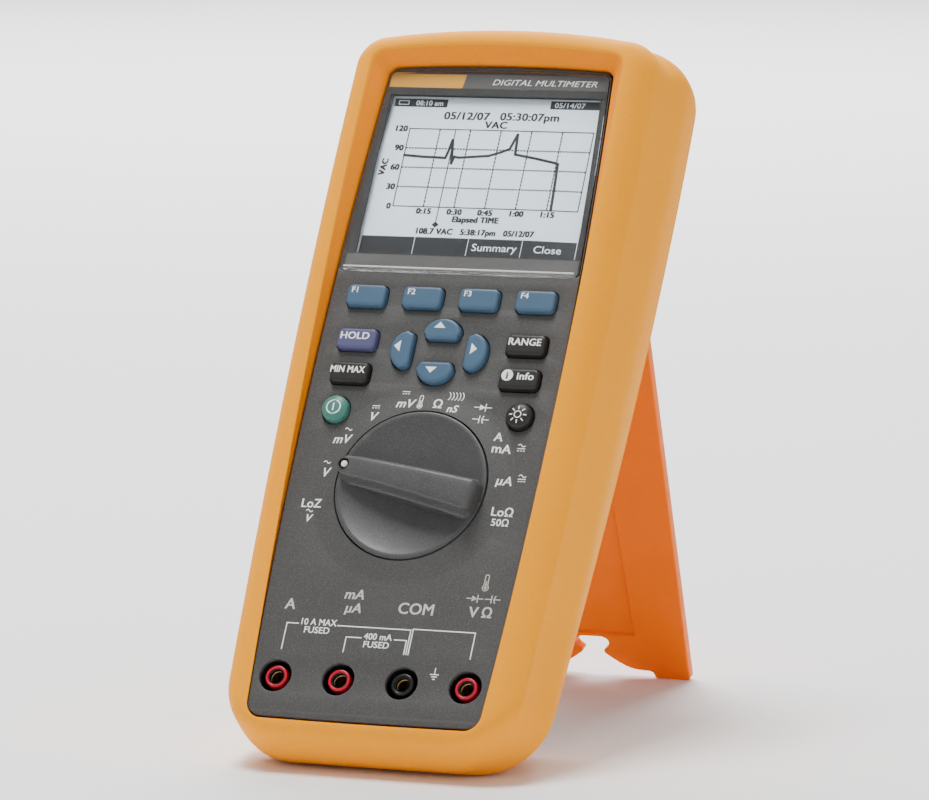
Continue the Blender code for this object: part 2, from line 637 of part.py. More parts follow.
def battery_door(meter, mats):
    """Door in the recess floor, with two slotted quarter-turn fasteners."""
    bm = bmesh.new()
    low = (-DOOR_HALF + GAP, DOOR_LOW + GAP, RECESS_Z + 0.1)
    high = (DOOR_HALF - GAP, DOOR_TOP - GAP, RECESS_Z + 1.9)
    add_block(bm, low, high)
    door = solid("battery_door", bm, mats["door"], meter)
    holes = bmesh.new()
    for x in (-15.0, 15.0):
        profile = [(0, RECESS_Z - 1), (4.6, RECESS_Z - 1), (4.6, RECESS_Z + 1.1), (2.2, RECESS_Z + 1.1),
                   (2.2, RECESS_Z + 3), (0, RECESS_Z + 3)]
        add_turned(holes, profile, 14, (x, 152.6, 0))
    cut(door, holes, meter)
    for side, x in (("left", -15.0), ("right", 15.0)):
        profile = [(0, 0.1), (4.2, 0.1), (4.2, 0.8), (1.9, 0.8), (1.9, 6.0), (0, 6.0)]
        fastener = solid("door_fastener_" + side, add_turned(bmesh.new(), profile, 14), mats["brass"], meter,
                         (x, 152.6, RECESS_Z))
        slot = bmesh.new()
        add_block(slot, (-3.4, -0.6, -1.0), (3.4, 0.6, 0.5))
        cut(fastener, slot, meter, (x, 152.6, RECESS_Z))


# ---------------------------------------------------------------- tilt stand

def stand_plan():
    """Right half of the stand in its own plane: x across, y towards the pivot."""
    foot = -STAND_LENGTH
    neck = 3.5
    points = [(0.0, foot + 13.2), (3.4, foot + 13.2), (4.9, foot + 12.2), (5.3, foot + 10.6), (4.7, foot + 9.2),
              (neck, foot + 8.2), (4.2, foot + 7.3)]
    for k in range(1, 5):
        t = k / 4
        points.append((4.2 + 10.6 * t, foot + 7.3 - 4.9 * math.sin(math.pi / 2 * t)))
    points += [(18.8, foot + 2.3), (19.0, foot), (STAND_HALF, foot)]
    points += [(STAND_HALF, -0.2), (0.0, -0.2)]
    return points


def tilt_stand(meter, mats):
    """Folding leg on two pins, with a hanging notch between its feet."""
    pivot_height = PIVOT_Y * math.cos(LEAN) + PIVOT_Z * math.sin(LEAN) + FLOOR_DROP
    half = STAND_THICK / 2
    reach = math.hypot(STAND_LENGTH, half)
    opened = LEAN + math.atan2(half, STAND_LENGTH) + math.acos(pivot_height / reach)
    hinge = empty("stand_hinge", (0, PIVOT_Y, PIVOT_Z), opened, meter)
    right = stand_plan()
    plan = right + [(-x, y) for x, y in reversed(right[1:-1])]
    bm = add_rings(bmesh.new(), [[(x, y, -half) for x, y in plan], [(x, y, half) for x, y in plan]])
    stand = solid("tilt_stand", bm, mats["stand"], hinge)
    join(stand, add_turned(bmesh.new(), disc_profile(half, -STAND_HALF, STAND_HALF), 16, axis="X"), hinge)
    pockets = bmesh.new()
    panel = [(-11.0, -20.0), (-13.4, 14.6 - STAND_LENGTH), (13.4, 14.6 - STAND_LENGTH), (11.0, -20.0)]
    add_rings(pockets, [[(x, y, half - 0.9) for x, y in panel], [(x, y, half + 1) for x, y in panel]])
    add_turned(pockets, disc_profile(PIN_R + 0.3, -40.0, 40.0), 12, axis="X")
    cut(stand, pockets, hinge)
    pin = add_turned(bmesh.new(), disc_profile(PIN_R, -34.0, 34.0), 12, axis="X")
    solid("stand_pin", pin, mats["steel"], meter, (0, PIVOT_Y, PIVOT_Z))


# ---------------------------------------------------------------- assembly

def palette():
    yellow = (0.93, 0.42, 0.03)
    blue = material("key_blue", (0.12, 0.22, 0.33), 0.45)
    near_black = material("key_black", (0.045, 0.04, 0.038), 0.5)
    mats = {
        "overmould": material("overmould_yellow", yellow, 0.5),
        "stand": material("stand_orange", (0.9, 0.25, 0.02), 0.45),
        "face": material("face_grey", (0.09, 0.09, 0.088), 0.6),
        "inner": material("inner_grey", (0.13, 0.13, 0.13), 0.6),
        "door": material("door_grey", (0.11, 0.11, 0.11), 0.6),
        "dark": material("moulding_black", (0.02, 0.02, 0.02), 0.5),
        "seal": material("seal_black", (0.015, 0.015, 0.015), 0.8),
        "window": material("window_clear", (0.9, 0.93, 0.95), 0.05, alpha=0.25),
        "lcd": material("lcd_pale", (0.7, 0.78, 0.82), 0.3),
        "guide": material("light_guide", (0.85, 0.87, 0.88), 0.3),
        "knob": material("knob_grey", (0.075, 0.075, 0.075), 0.5),
        "white": material("pointer_white", (0.8, 0.8, 0.78), 0.5),
        "rotor": material("rotor_natural", (0.7, 0.68, 0.6), 0.5),
        "steel": material("spring_steel", (0.55, 0.55, 0.56), 0.35, 1.0),
        "brass": material("brass", (0.75, 0.55, 0.25), 0.3, 1.0),
        "red_collar": material("collar_red", (0.6, 0.02, 0.06), 0.4),
        "black_collar": material("collar_black", (0.02, 0.02, 0.02), 0.4),
        "board": material("board_green", (0.02, 0.13, 0.05), 0.5),
        "cell": material("cell_jacket", (0.05, 0.06, 0.08), 0.35),
        "fuse": material("fuse_body", (0.75, 0.72, 0.65), 0.4),
    }
    for name, shape, *_ in KEYS:
        mats[name] = near_black
        if name.startswith("key_f") or shape.startswith("arrow"):
            mats[name] = blue
    mats["key_hold"] = material("key_violet", (0.19, 0.19, 0.37), 0.45)
    mats["key_power"] = material("key_teal", (0.08, 0.3, 0.24), 0.4)
    return mats


def centre_on_floor(root):
    """Put the middle of the object's footprint over the origin, with its lowest point at Z = 0."""
    bpy.context.view_layer.update()
    graph = bpy.context.evaluated_depsgraph_get()
    corners = []
    for obj in bpy.data.objects:
        if obj.type == "MESH" and not obj.hide_render:
            shown = obj.evaluated_get(graph)
            corners += [shown.matrix_world @ v.co for v in shown.data.vertices]
    low = [min(c[i] for c in corners) for i in range(3)]
    high = [max(c[i] for c in corners) for i in range(3)]
    root.location = (-(low[0] + high[0]) / 2, -(low[1] + high[1]) / 2, -low[2])


def main():
    clear_scene()
    mats = palette()
    meter = empty("meter", rotation_x=math.pi / 2 - LEAN)
    front_overmould(meter, mats["overmould"])
    front_case(meter, mats["face"])
    rear_overmould(meter, mats["overmould"])
    rear_case(meter, mats["inner"])
    case_screws(meter, mats["steel"])
    display(meter, mats)
    keys(meter, mats)
    keypad_mat(meter, mats["seal"])
    dial(meter, mats)
    jacks(meter, mats)
    main_board(meter, mats["board"])
    power(meter, mats)
    battery_door(meter, mats)
    tilt_stand(meter, mats)
    centre_on_floor(meter)


main()
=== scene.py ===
"""Looks of a handheld logging multimeter that leans on its tilt stand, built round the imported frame.

Shapes are drawn in the meter's own frame, in millimetres: x to the right, y up the face, z out of the
face, with the origin on the face in the middle of the row of jacks. FACE takes that frame to the world.
"""
import json
from math import atan2, cos, hypot, pi, radians, sin

import bmesh
import bpy
from mathutils import Matrix, Vector


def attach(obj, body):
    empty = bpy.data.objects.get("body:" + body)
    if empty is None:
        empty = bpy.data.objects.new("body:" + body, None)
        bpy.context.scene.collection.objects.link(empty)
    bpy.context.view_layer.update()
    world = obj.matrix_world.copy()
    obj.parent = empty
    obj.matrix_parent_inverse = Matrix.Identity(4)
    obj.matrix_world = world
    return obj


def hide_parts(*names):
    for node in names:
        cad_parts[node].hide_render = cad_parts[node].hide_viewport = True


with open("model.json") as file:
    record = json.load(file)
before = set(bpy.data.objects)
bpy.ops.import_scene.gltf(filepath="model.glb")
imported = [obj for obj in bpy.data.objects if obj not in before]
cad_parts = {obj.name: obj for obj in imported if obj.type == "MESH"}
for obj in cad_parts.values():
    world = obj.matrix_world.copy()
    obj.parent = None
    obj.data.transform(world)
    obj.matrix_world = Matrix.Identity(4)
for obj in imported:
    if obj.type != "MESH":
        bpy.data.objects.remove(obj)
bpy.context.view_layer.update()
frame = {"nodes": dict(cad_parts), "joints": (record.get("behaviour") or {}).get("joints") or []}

MM = 0.001

# ---- the meter's own frame, from the dial's axis
DIAL_Y = 59.1
JOINTS = {joint["name"]: joint for joint in frame["joints"]}
OUTWARD = Vector(JOINTS["dial_turn"]["axis"])
UPWARD = OUTWARD.cross(Vector((1.0, 0.0, 0.0)))
LEAN = atan2(OUTWARD.z, -OUTWARD.y)
FACE_ORIGIN = Vector(JOINTS["dial_turn"]["pos_m"]) - UPWARD * DIAL_Y * MM
FACE = Matrix.Translation(FACE_ORIGIN) @ Matrix.Rotation(pi / 2 - LEAN, 4, "X") @ Matrix.Scale(MM, 4)
FLOOR_DROP = FACE_ORIGIN.z / MM
FOOT_LIFT = 0.01

# ---- case
SEAM_Z = -31.5
SEAM_GAP = 0.3
BACK_Z = -49.0
RECESS_Z = -44.6
WALL = 2.4
GAP = 0.35
FACE_TOP = 192.6
FACE_LOW = -12.9
DOOR_LOW, DOOR_TOP, DOOR_HALF = 12.0, 159.0, 24.0
SCREW_SPOTS = [(-27.6, 22.0), (27.6, 22.0), (-27.6, 163.0), (27.6, 163.0)]
FASTENERS = {"fastener_left": -15.0, "fastener_right": 15.0}
FASTENER_Y = 152.6

# ---- jacks
JACK_PITCH = 19.05
JACKS = dict(zip(("amps", "milliamps", "common", "volts_ohms"), [JACK_PITCH * (i - 1.5) for i in range(4)]))
JACK_WELL_R = 4.8
JACK_FLOOR = -17.5

# ---- dial
DIAL_R = 22.6
POINTER = radians(168.4)
DOT_AT = 20.4
FLANGE_TOP = 1.2

# ---- keys: shape, x, y, width, height
KEY_TOP = 1.9
F_PITCH = 17.35
KEYS = {"key_f%d" % n: ("bar", (n - 2.5) * F_PITCH, 117.1, 11.9, 6.5) for n in range(1, 5)}
KEYS |= {
    "key_hold": ("bar", -25.9, 103.3, 11.9, 6.3),
    "key_min_max": ("bar", -25.9, 92.7, 11.6, 6.3),
    "key_range": ("bar", 25.9, 103.4, 11.9, 6.3),
    "key_info": ("bar", 25.9, 92.8, 11.9, 6.3),
    "key_up": ("moon", -0.2, 107.4, 11.2, 6.5, 0),
    "key_left": ("moon", -11.7, 100.6, 11.6, 6.5, 90),
    "key_down": ("moon", -0.2, 93.8, 11.2, 6.5, 180),
    "key_right": ("moon", 11.3, 100.6, 11.6, 6.5, 270),
    "key_power": ("round", -28.0, 81.4, 8.0, 8.0),
    "key_backlight": ("round", 28.2, 81.6, 7.8, 7.8),
}

# ---- stand
PIVOT = (0.0, 166.6, -47.0)
STAND_LENGTH = 151.6
STAND_HALF = 30.4
STAND_THICK = 3.6
OPENED = -radians(JOINTS["stand_fold"]["range_deg"][0])
STAND = FACE @ Matrix.Translation(PIVOT) @ Matrix.Rotation(OPENED, 4, "X")


# ======== materials

MATS = {}


def tree(name):
    """A new material under the name: its node tree and its shader."""
    mat = MATS[name] = bpy.data.materials.new(name)
    mat.use_nodes = True
    return mat.node_tree, mat.node_tree.nodes["Principled BSDF"]


def node(nodes, kind, **settings):
    made = nodes.nodes.new(kind)
    for key, value in settings.items():
        if key in made.inputs:
            made.inputs[key].default_value = value
        else:
            setattr(made, key, value)
    return made


def wire(value, target, socket):
    """Link a socket, or set a constant, on one of a node's inputs."""
    if isinstance(value, bpy.types.NodeSocket):
        target.id_data.links.new(value, target.inputs[socket])
    else:
        target.inputs[socket].default_value = (*value, 1.0) if isinstance(value, tuple) else value


def noise(nodes, per_mm, detail=2.0, rough=0.5):
    """Noise with per_mm cells to the millimetre, fixed to the piece."""
    where = node(nodes, "ShaderNodeTexCoord")
    made = node(nodes, "ShaderNodeTexNoise", Scale=per_mm / MM, Detail=detail, Roughness=rough)
    wire(where.outputs["Object"], made, "Vector")
    return made.outputs["Fac"]


def remap(nodes, value, to_low=0.0, to_high=1.0, low=0.3, high=0.7):
    """Map low..high, by default where noise mostly lies, to to_low..to_high."""
    made = node(nodes, "ShaderNodeMapRange")
    wire(value, made, "Value")
    for socket, number in (("From Min", low), ("From Max", high), ("To Min", to_low), ("To Max", to_high)):
        wire(number, made, socket)
    return made.outputs["Result"]


def mix(nodes, amount, a, b):
    """Mix two colours; each is a colour or a socket."""
    made = node(nodes, "ShaderNodeMix", data_type="RGBA")
    for value, slot in ((amount, 0), (a, 6), (b, 7)):
        wire(value, made, slot)
    return made.outputs[2]


def shade(color, factor):
    return tuple(min(max(c * factor, 0.0), 1.0) for c in color)


def bumped(nodes, shader, height, strength, distance):
    bump = node(nodes, "ShaderNodeBump", Strength=strength, Distance=distance * MM)
    wire(height, bump, "Height")
    wire(bump.outputs["Normal"], shader, "Normal")


def moulded(name, color, rough, grain=4.0, relief=0.02, mottle=0.06, edge=1.25, coat=0.0, rough_spread=0.06,
            specular=0.3, tint=(1.0, 1.0, 1.0), speckle=0.0):
    """Moulded plastic or rubber: a fine grain, faint mottling, uneven gloss and paler rubbed edges."""
    nodes, shader = tree(name)
    fine = noise(nodes, grain, 2.0, 0.6)
    broad = remap(nodes, noise(nodes, 0.05, 3.0))
    base = mix(nodes, broad, shade(color, 1 - mottle), shade(color, 1 + mottle))
    base = mix(nodes, remap(nodes, fine, 0.0, 0.35), base, shade(color, 1 - 2 * mottle))
    if speckle:
        sand = noise(nodes, grain * 0.8, 1.0, 0.4)
        base = mix(nodes, remap(nodes, sand, 0.0, 1.0, 0.52, 0.72), base, shade(color, 1 + 2.5 * speckle))
        base = mix(nodes, remap(nodes, sand, 0.0, 1.0, 0.48, 0.28), base, shade(color, 1 - speckle))
    geometry = node(nodes, "ShaderNodeNewGeometry")
    rubbed = remap(nodes, geometry.outputs["Pointiness"], 0.0, 0.5, 0.53, 0.62)
    wire(mix(nodes, rubbed, base, shade(color, edge)), shader, "Base Color")
    patchy = noise(nodes, 0.18, 4.0, 0.65)
    wire(remap(nodes, patchy, rough - rough_spread, rough + rough_spread), shader, "Roughness")
    bumped(nodes, shader, fine, 0.6, relief)
    wire(coat, shader, "Coat Weight")
    wire(0.25, shader, "Coat Roughness")
    wire(specular, shader, "Specular IOR Level")
    wire(tint, shader, "Specular Tint")


def metal(name, color, rough):
    """Turned or drawn metal with fine marks and uneven gloss."""
    nodes, shader = tree(name)
    marks = noise(nodes, 3.0, 4.0, 0.7)
    broad = remap(nodes, noise(nodes, 0.3, 2.0))
    wire(mix(nodes, broad, shade(color, 0.85), shade(color, 1.08)), shader, "Base Color")
    wire(remap(nodes, marks, rough - 0.08, rough + 0.12), shader, "Roughness")
    bumped(nodes, shader, marks, 0.4, 0.01)
    wire(1.0, shader, "Metallic")


def clear(name, tint, rough, ior):
    """Clear plastic that lamps shine through, with faint wipe marks in its gloss."""
    nodes, shader = tree(name)
    haze = noise(nodes, 0.12, 5.0, 0.7)
    wire(remap(nodes, haze, rough, rough + 0.05, 0.35, 0.75), shader, "Roughness")
    tinted = mix(nodes, remap(nodes, haze), tint, shade(tint, 0.985))
    wire(tinted, shader, "Base Color")
    wire(1.0, shader, "Transmission Weight")
    wire(ior, shader, "IOR")
    through = node(nodes, "ShaderNodeBsdfTransparent", Color=(*tint, 1.0))
    choice = node(nodes, "ShaderNodeMixShader")
    wire(node(nodes, "ShaderNodeLightPath").outputs["Is Shadow Ray"], choice, 0)
    wire(shader.outputs[0], choice, 1)
    wire(through.outputs[0], choice, 2)
    wire(choice.outputs[0], nodes.nodes["Material Output"], "Surface")


GLOW = (1.0, 0.55, 0.1)
rubber = {"grain": 3.0, "relief": 0.03, "mottle": 0.03, "rough_spread": 0.05, "tint": GLOW, "speckle": 0.03}
moulded("overmould", (1.0, 0.36, 0.0), 0.6, edge=1.1, specular=0.12, **rubber)
# A deeper, darker copy of the overmould for the wall inside the crest: painted shade, as the wall is the same
# rubber as the rim.
moulded("wall", (0.98, 0.275, 0.0), 0.6, edge=1.05, specular=0.08, **rubber)
moulded("stand", (0.95, 0.165, 0.0), 0.42, 3.0, 0.015, mottle=0.03, edge=1.1, specular=0.16, tint=GLOW)
moulded("face", (0.066, 0.065, 0.063), 0.5, 3.6, 0.09, mottle=0.08, edge=1.35, speckle=0.15)
moulded("inner", (0.05, 0.05, 0.05), 0.58, relief=0.04)
moulded("door", (0.042, 0.042, 0.043), 0.55, relief=0.05)
moulded("black", (0.012, 0.012, 0.012), 0.45)
moulded("seal", (0.015, 0.015, 0.015), 0.7, relief=0.03)
moulded("knob", (0.062, 0.062, 0.062), 0.42, 3.4, 0.06, mottle=0.08, edge=1.6, specular=0.4, speckle=0.14)
moulded("white", (0.8, 0.8, 0.78), 0.5, relief=0.01, mottle=0.03)
moulded("grey_print", (0.5, 0.49, 0.44), 0.5, relief=0.01, mottle=0.03)
moulded("rotor", (0.7, 0.66, 0.56), 0.5)
moulded("key_blue", (0.062, 0.118, 0.185), 0.4, 3.0, 0.015, mottle=0.04, edge=1.4)
moulded("key_black", (0.022, 0.02, 0.019), 0.42, 3.0, 0.015, edge=1.7)
moulded("key_violet", (0.085, 0.083, 0.18), 0.4, 3.0, 0.015, edge=1.4)
moulded("key_teal", (0.06, 0.19, 0.155), 0.34, 3.0, 0.01, edge=1.4)
moulded("red", (0.5, 0.004, 0.024), 0.3, relief=0.01, mottle=0.04, coat=0.2)
moulded("black_gloss", (0.01, 0.01, 0.01), 0.34, relief=0.01, coat=0.2)
moulded("board", (0.015, 0.11, 0.04), 0.4, grain=1.2, mottle=0.15)
moulded("cell", (0.03, 0.05, 0.09), 0.3, relief=0.01)
moulded("fuse", (0.72, 0.69, 0.6), 0.4)
moulded("guide", (0.8, 0.84, 0.86), 0.2, relief=0.01, mottle=0.02)
moulded("lcd", (0.76, 0.87, 0.94), 0.3, 5.0, 0.004, mottle=0.02, edge=1.0)
moulded("lcd_ink", (0.012, 0.014, 0.017), 0.35, 5.0, 0.001, mottle=0.03, edge=1.0)
moulded("header", (0.06, 0.057, 0.055), 0.45, 5.0, 0.002)
moulded("amber", (0.62, 0.3, 0.02), 0.45, 5.0, 0.01, mottle=0.04)
# Pale grey for the strip along the window's lower edge: a painted highlight on the lens edge.
moulded("painted_lens_highlight", (0.62, 0.6, 0.6), 0.3, relief=0.005, mottle=0.08)
metal("brass", (0.74, 0.5, 0.2), 0.28)
metal("steel", (0.56, 0.56, 0.57), 0.3)
clear("lens", (0.985, 0.99, 0.99), 0.015, 1.49)


# ======== mesh helpers

def place_object(name, data):
    """A new object in the scene, with its mesh, curve, lamp or camera."""
    made = bpy.data.objects.new(name, data)
    bpy.context.collection.objects.link(made)
    return made


def make(name, bm, material, replaced=(), body="case", place=FACE, smooth=35.0):
    """Put a bmesh drawn in millimetres into the scene as one piece of the object."""
    bmesh.ops.recalc_face_normals(bm, faces=bm.faces)
    mesh = bpy.data.meshes.new(name)
    bm.to_mesh(mesh)
    bm.free()
    mesh.transform(place)
    mesh.materials.append(MATS[material])
    mesh.shade_smooth()
    mesh.set_sharp_from_angle(angle=radians(smooth))
    piece = place_object(name, mesh)
    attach(piece, body)
    if replaced:
        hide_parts(*replaced)
    return piece


def skin(rings, closed=False):
    """Faces between rings of equal length or single points, capped at both ends or closed into a loop."""
    bm = bmesh.new()
    rows = [[bm.verts.new(point) for point in ring] for ring in rings]
    pairs = list(zip(rows, rows[1:]))
    if closed:
        pairs.append((rows[-1], rows[0]))
    for low, high in pairs:
        for i in range(max(len(low), len(high))):
            corners = ((low, i), (low, i + 1), (high, i + 1), (high, i))
            around = [row[k % len(row)] for row, k in corners]
            bm.faces.new([v for k, v in enumerate(around) if v is not around[k - 1]])
    for cap in (rows[0][::-1], rows[-1]):
        if not closed and len(cap) > 1:
            bm.faces.new(cap)
    return bm


def turned(profile, sides=48, centre=(0.0, 0.0, 0.0), axis="Z"):
    """Turn (radius, height) points about an axis; the profile closes on itself or on the axis."""
    swing = Matrix.Rotation(pi / 2, 3, "Y") if axis == "X" else Matrix.Identity(3)
    rings = []
    for radius, height in profile:
        angles = [2 * pi * i / sides for i in range(sides if radius > 1e-6 else 1)]
        points = [Vector((radius * cos(angle), radius * sin(angle), height)) for angle in angles]
        rings.append([swing @ point + Vector(centre) for point in points])
    return skin(rings, closed=len(rings[0]) > 1)


def arc(centre, radius, start, end, steps):
    """(x, y) points along an arc; angles in degrees."""
    points = []
    for k in range(steps + 1):
        angle = radians(start + (end - start) * k / steps)
        points.append((centre[0] + radius * cos(angle), centre[1] + radius * sin(angle)))
    return points


def circle(x, y, radius, sides=48):
    return arc((x, y), radius, 0, 360 * (sides - 1) / sides, sides - 1)


def rounded(width, height, radius, steps=8, x=0.0, y=0.0):
    """Rounded rectangle, anticlockwise."""
    points = []
    for turn, sx, sy in ((0, 1, 1), (90, -1, 1), (180, -1, -1), (270, 1, -1)):
        centre = (x + sx * (width / 2 - radius), y + sy * (height / 2 - radius))
        points += arc(centre, radius, turn, turn + 90, steps)
    return points


def level(points, z, x=0.0, y=0.0):
    """A flat outline put at height z and moved by (x, y)."""
    return [Vector((x + px, y + py, z)) for px, py in points]


def box(x0, y0, x1, y1):
    """Corners of a rectangle, anticlockwise."""
    return [(x0, y0), (x1, y0), (x1, y1), (x0, y1)]


def plate(outlines, low, high, edge=0.0, edge_steps=3):
    """Flat plate with holes between two heights, its edges rounded; the first outline is the outside."""
    curve = bpy.data.curves.new("plate", "CURVE")
    curve.dimensions = "2D"
    curve.fill_mode = "BOTH"
    for outline in outlines:
        spline = curve.splines.new("POLY")
        spline.points.add(len(outline) - 1)
        for point, (x, y) in zip(spline.points, outline):
            point.co = (x, y, 0.0, 1.0)
        spline.use_cyclic_u = True
    curve.bevel_depth = edge
    curve.bevel_resolution = edge_steps
    curve.offset = -edge
    curve.extrude = (high - low) / 2 - edge
    return from_curve(curve, Matrix.Translation((0, 0, (low + high) / 2)))


def from_curve(curve, matrix):
    """The solid that a curve or text makes, as a bmesh."""
    holder = place_object("drawing", curve)
    graph = bpy.context.evaluated_depsgraph_get()
    mesh = bpy.data.meshes.new_from_object(holder.evaluated_get(graph))
    bm = bmesh.new()
    bm.from_mesh(mesh)
    bmesh.ops.remove_doubles(bm, verts=bm.verts, dist=1e-4)
    bm.transform(matrix)
    bpy.data.objects.remove(holder)
    bpy.data.meshes.remove(mesh)
    bpy.data.curves.remove(curve)
    return bm


def merge(bm, other):
    """Add another bmesh's faces to bm."""
    mesh = bpy.data.meshes.new("merge")
    other.to_mesh(mesh)
    other.free()
    bm.from_mesh(mesh)
    bpy.data.meshes.remove(mesh)
    return bm


def carve(piece, cutter_bm, place=FACE, operation="DIFFERENCE"):
    """Cut or weld a closed shape into a piece and apply the result."""
    mesh = bpy.data.meshes.new("cutter")
    bmesh.ops.recalc_face_normals(cutter_bm, faces=cutter_bm.faces)
    cutter_bm.to_mesh(mesh)
    cutter_bm.free()
    mesh.transform(place)
    tool = place_object("cutter", mesh)
    step = piece.modifiers.new("carve", "BOOLEAN")
    step.operation = operation
    step.solver = "EXACT"
    step.object = tool
    graph = bpy.context.evaluated_depsgraph_get()
    result = bpy.data.meshes.new_from_object(piece.evaluated_get(graph))
    piece.modifiers.remove(step)
    piece.data = result
    result.shade_smooth()
    result.set_sharp_from_angle(angle=radians(35))
    bpy.data.objects.remove(tool)


# ======== case outlines

FIELDS = ("z", "half", "taper", "widest_y", "low", "top", "r_low", "r_top", "arch_low", "arch_top", "rise")


def station(*values, rise=0.0):
    """One outline of the case at a depth z: half width, where it is widest, ends, corner radii and arches."""
    return dict(zip(FIELDS, (*values, rise)))


def blend(a, b, t):
    return {key: a[key] + (b[key] - a[key]) * t for key in a}


def foot_line(z):
    """y of the plane that the case rests on, at depth z."""
    return FOOT_LIFT - (FLOOR_DROP + z * sin(LEAN)) / cos(LEAN)


def smooth_step(value, low, high):
    t = min(max((value - low) / (high - low), 0.0), 1.0)
    return t * t * (3 - 2 * t)


def lift(y):
    """Height of the rim's crest above the face: it rises towards the display."""
    return 0.4 + 5.2 * smooth_step(y, -8.0, 197.0)


OPENING = station(-0.2, 38.4, 3.2, 85.0, FACE_LOW, FACE_TOP, 4.6, 3.0, 0.3, 1.2)
CREST_IN = station(0.0, 39.5, 1.6, 150.0, FACE_LOW - 0.5, 197.5, 5.4, 3.6, 0.3, 3.1, rise=1.0)
CREASE = station(-5.0, 47.4, 1.6, 135.0, -19.0, 205.1, 19.0, 8.5, 0.6, 4.6, rise=0.45)
BELLY = station(-10.0, 48.5, 1.9, 140.0, -20.8, 206.7, 21.0, 10.5, 0.4, 4.8)
FLANK = station(-15.0, 49.5, 1.9, 142.0, -19.9, 208.4, 21.0, 9.5, 0.2, 4.8)
FOOT_FRONT = station(-22.0, 50.3, 1.6, 148.0, foot_line(-22.0), 208.9, 19.0, 8.6, 0.0, 4.8)
SEAM = station(SEAM_Z, 49.3, 2.5, 160.0, foot_line(SEAM_Z), 208.2, 19.5, 8.0, 0.0, 4.8)
FOOT_BACK = station(-36.0, 47.8, 2.8, 165.0, foot_line(-36.0), 206.2, 20.0, 11.0, 0.0, 4.8)
HEEL = station(-42.0, 45.2, 2.9, 168.0, -4.0, 202.6, 19.0, 14.0, 0.0, 4.6)
CHAMFER = station(-46.6, 42.0, 2.7, 168.0, 1.6, 198.0, 17.0, 13.0, 0.0, 4.2)
BACK = station(BACK_Z, 37.6, 2.5, 168.0, 6.4, 192.6, 14.0, 11.0, 0.0, 3.6)
WINDOW = station(0.0, 37.3, 3.2, 85.0, 125.6, 190.6, 1.6, 2.2, 0.0, 0.8)
SIDES = [CREASE, BELLY, FLANK, FOOT_FRONT, SEAM, FOOT_BACK, HEEL, CHAMFER, BACK]
END_STEPS, CORNER_STEPS, SIDE_STEPS = 8, 14, 24


def half_outline(half, low, top, r_low, r_top, arch_low, arch_top):
    """Right half of a case outline, from the middle of its low end to the middle of its top."""
    ends = []
    for sign, end, radius, arch in ((1, low, r_low, arch_low), (-1, top, r_top, arch_top)):
        width = half(end + sign * (arch + radius))
        points = [((width - radius) * k / END_STEPS, end) for k in range(END_STEPS)]
        points += arc((width - radius, end + sign * radius), radius, -90 * sign, 0, CORNER_STEPS)
        ends.append([(x, y + sign * arch * (x / width) ** 2) for x, y in points])
    y_low, y_top = low + arch_low + r_low, top - arch_top - r_top
    heights = [y_low + (y_top - y_low) * k / SIDE_STEPS for k in range(1, SIDE_STEPS)]
    return ends[0] + [(half(y), y) for y in heights] + ends[1][::-1]


def mirrored(right):
    """A closed outline from its right half, which starts and ends on the middle line."""
    return right + [(-x, y) for x, y in reversed(right[1:-1])]


def flat_ring(section, inset=0.0):
    def half(y):
        return section["half"] - inset - section["taper"] * ((y - section["widest_y"]) / 100.0) ** 2
    return mirrored(half_outline(half, section["low"] + inset, section["top"] - inset,
                                 max(section["r_low"] - inset, 1.0), max(section["r_top"] - inset, 1.0),
                                 section["arch_low"], section["arch_top"]))


def ring(section, inset=0.0, z=None):
    """A whole ring of one station of the case, drawn in by inset."""
    base = section["z"] if z is None else z
    rise = section["rise"] if z is None else 0.0
    return [Vector((x, y, base + rise * lift(y))) for x, y in flat_ring(section, inset)]


def side_section(u):
    """The case's side at u, counted in stations from the crease: a smooth curve through them all."""
    i = min(int(u), len(SIDES) - 2)
    t = u - i
    before, a, b, after = (SIDES[min(max(k, 0), len(SIDES) - 1)] for k in (i - 1, i, i + 1, i + 2))
    section = {}
    for key in a:
        section[key] = 0.5 * (2 * a[key] + (b[key] - before[key]) * t
                              + (2 * before[key] - 5 * a[key] + 4 * b[key] - after[key]) * t * t
                              + (3 * a[key] - before[key] - 3 * b[key] + after[key]) * t ** 3)
    section["low"] = max(section["low"], foot_line(section["z"]))
    return section


def rim_section(t):
    """The convex rim from the crest's inner edge at 0 to the crease at 1."""
    sweep = radians(62.0)
    out = sin(sweep * t) / sin(sweep)
    down = (1 - cos(sweep * t)) / (1 - cos(sweep))
    section = blend(CREST_IN, CREASE, out)
    for key in ("z", "rise"):
        section[key] = CREST_IN[key] + (CREASE[key] - CREST_IN[key]) * down
    section["z"] -= 0.28 * t * (1 - t)
    return section


def soften(rings, weights, rounds):
    """Round off edges that run along the rings: weights[i](point) says how much at ring i."""
    for _ in range(rounds):
        moved = [list(row) for row in rings]
        for i in range(1, len(rings) - 1):
            if weights[i] is None:
                continue
            for k, point in enumerate(rings[i]):
                middle = (rings[i - 1][k] + rings[i + 1][k]) / 2
                moved[i][k] = point.lerp(middle, weights[i](point))
        rings = moved
    return rings


# ======== shells

def crease_softness(point):
    """The crease is soft beside the display and under the bottom, and crisp down the lower flanks."""
    beside = smooth_step(point.y, 40.0, 165.0)
    under = smooth_step(-point.y, -2.0, 12.0) * smooth_step(-abs(point.x), -44.0, -24.0)
    return 0.12 + 0.85 * max(beside, under)


def crest_softness(point):
    """The crest between the wall and the rim is a small even radius."""
    return 0.14


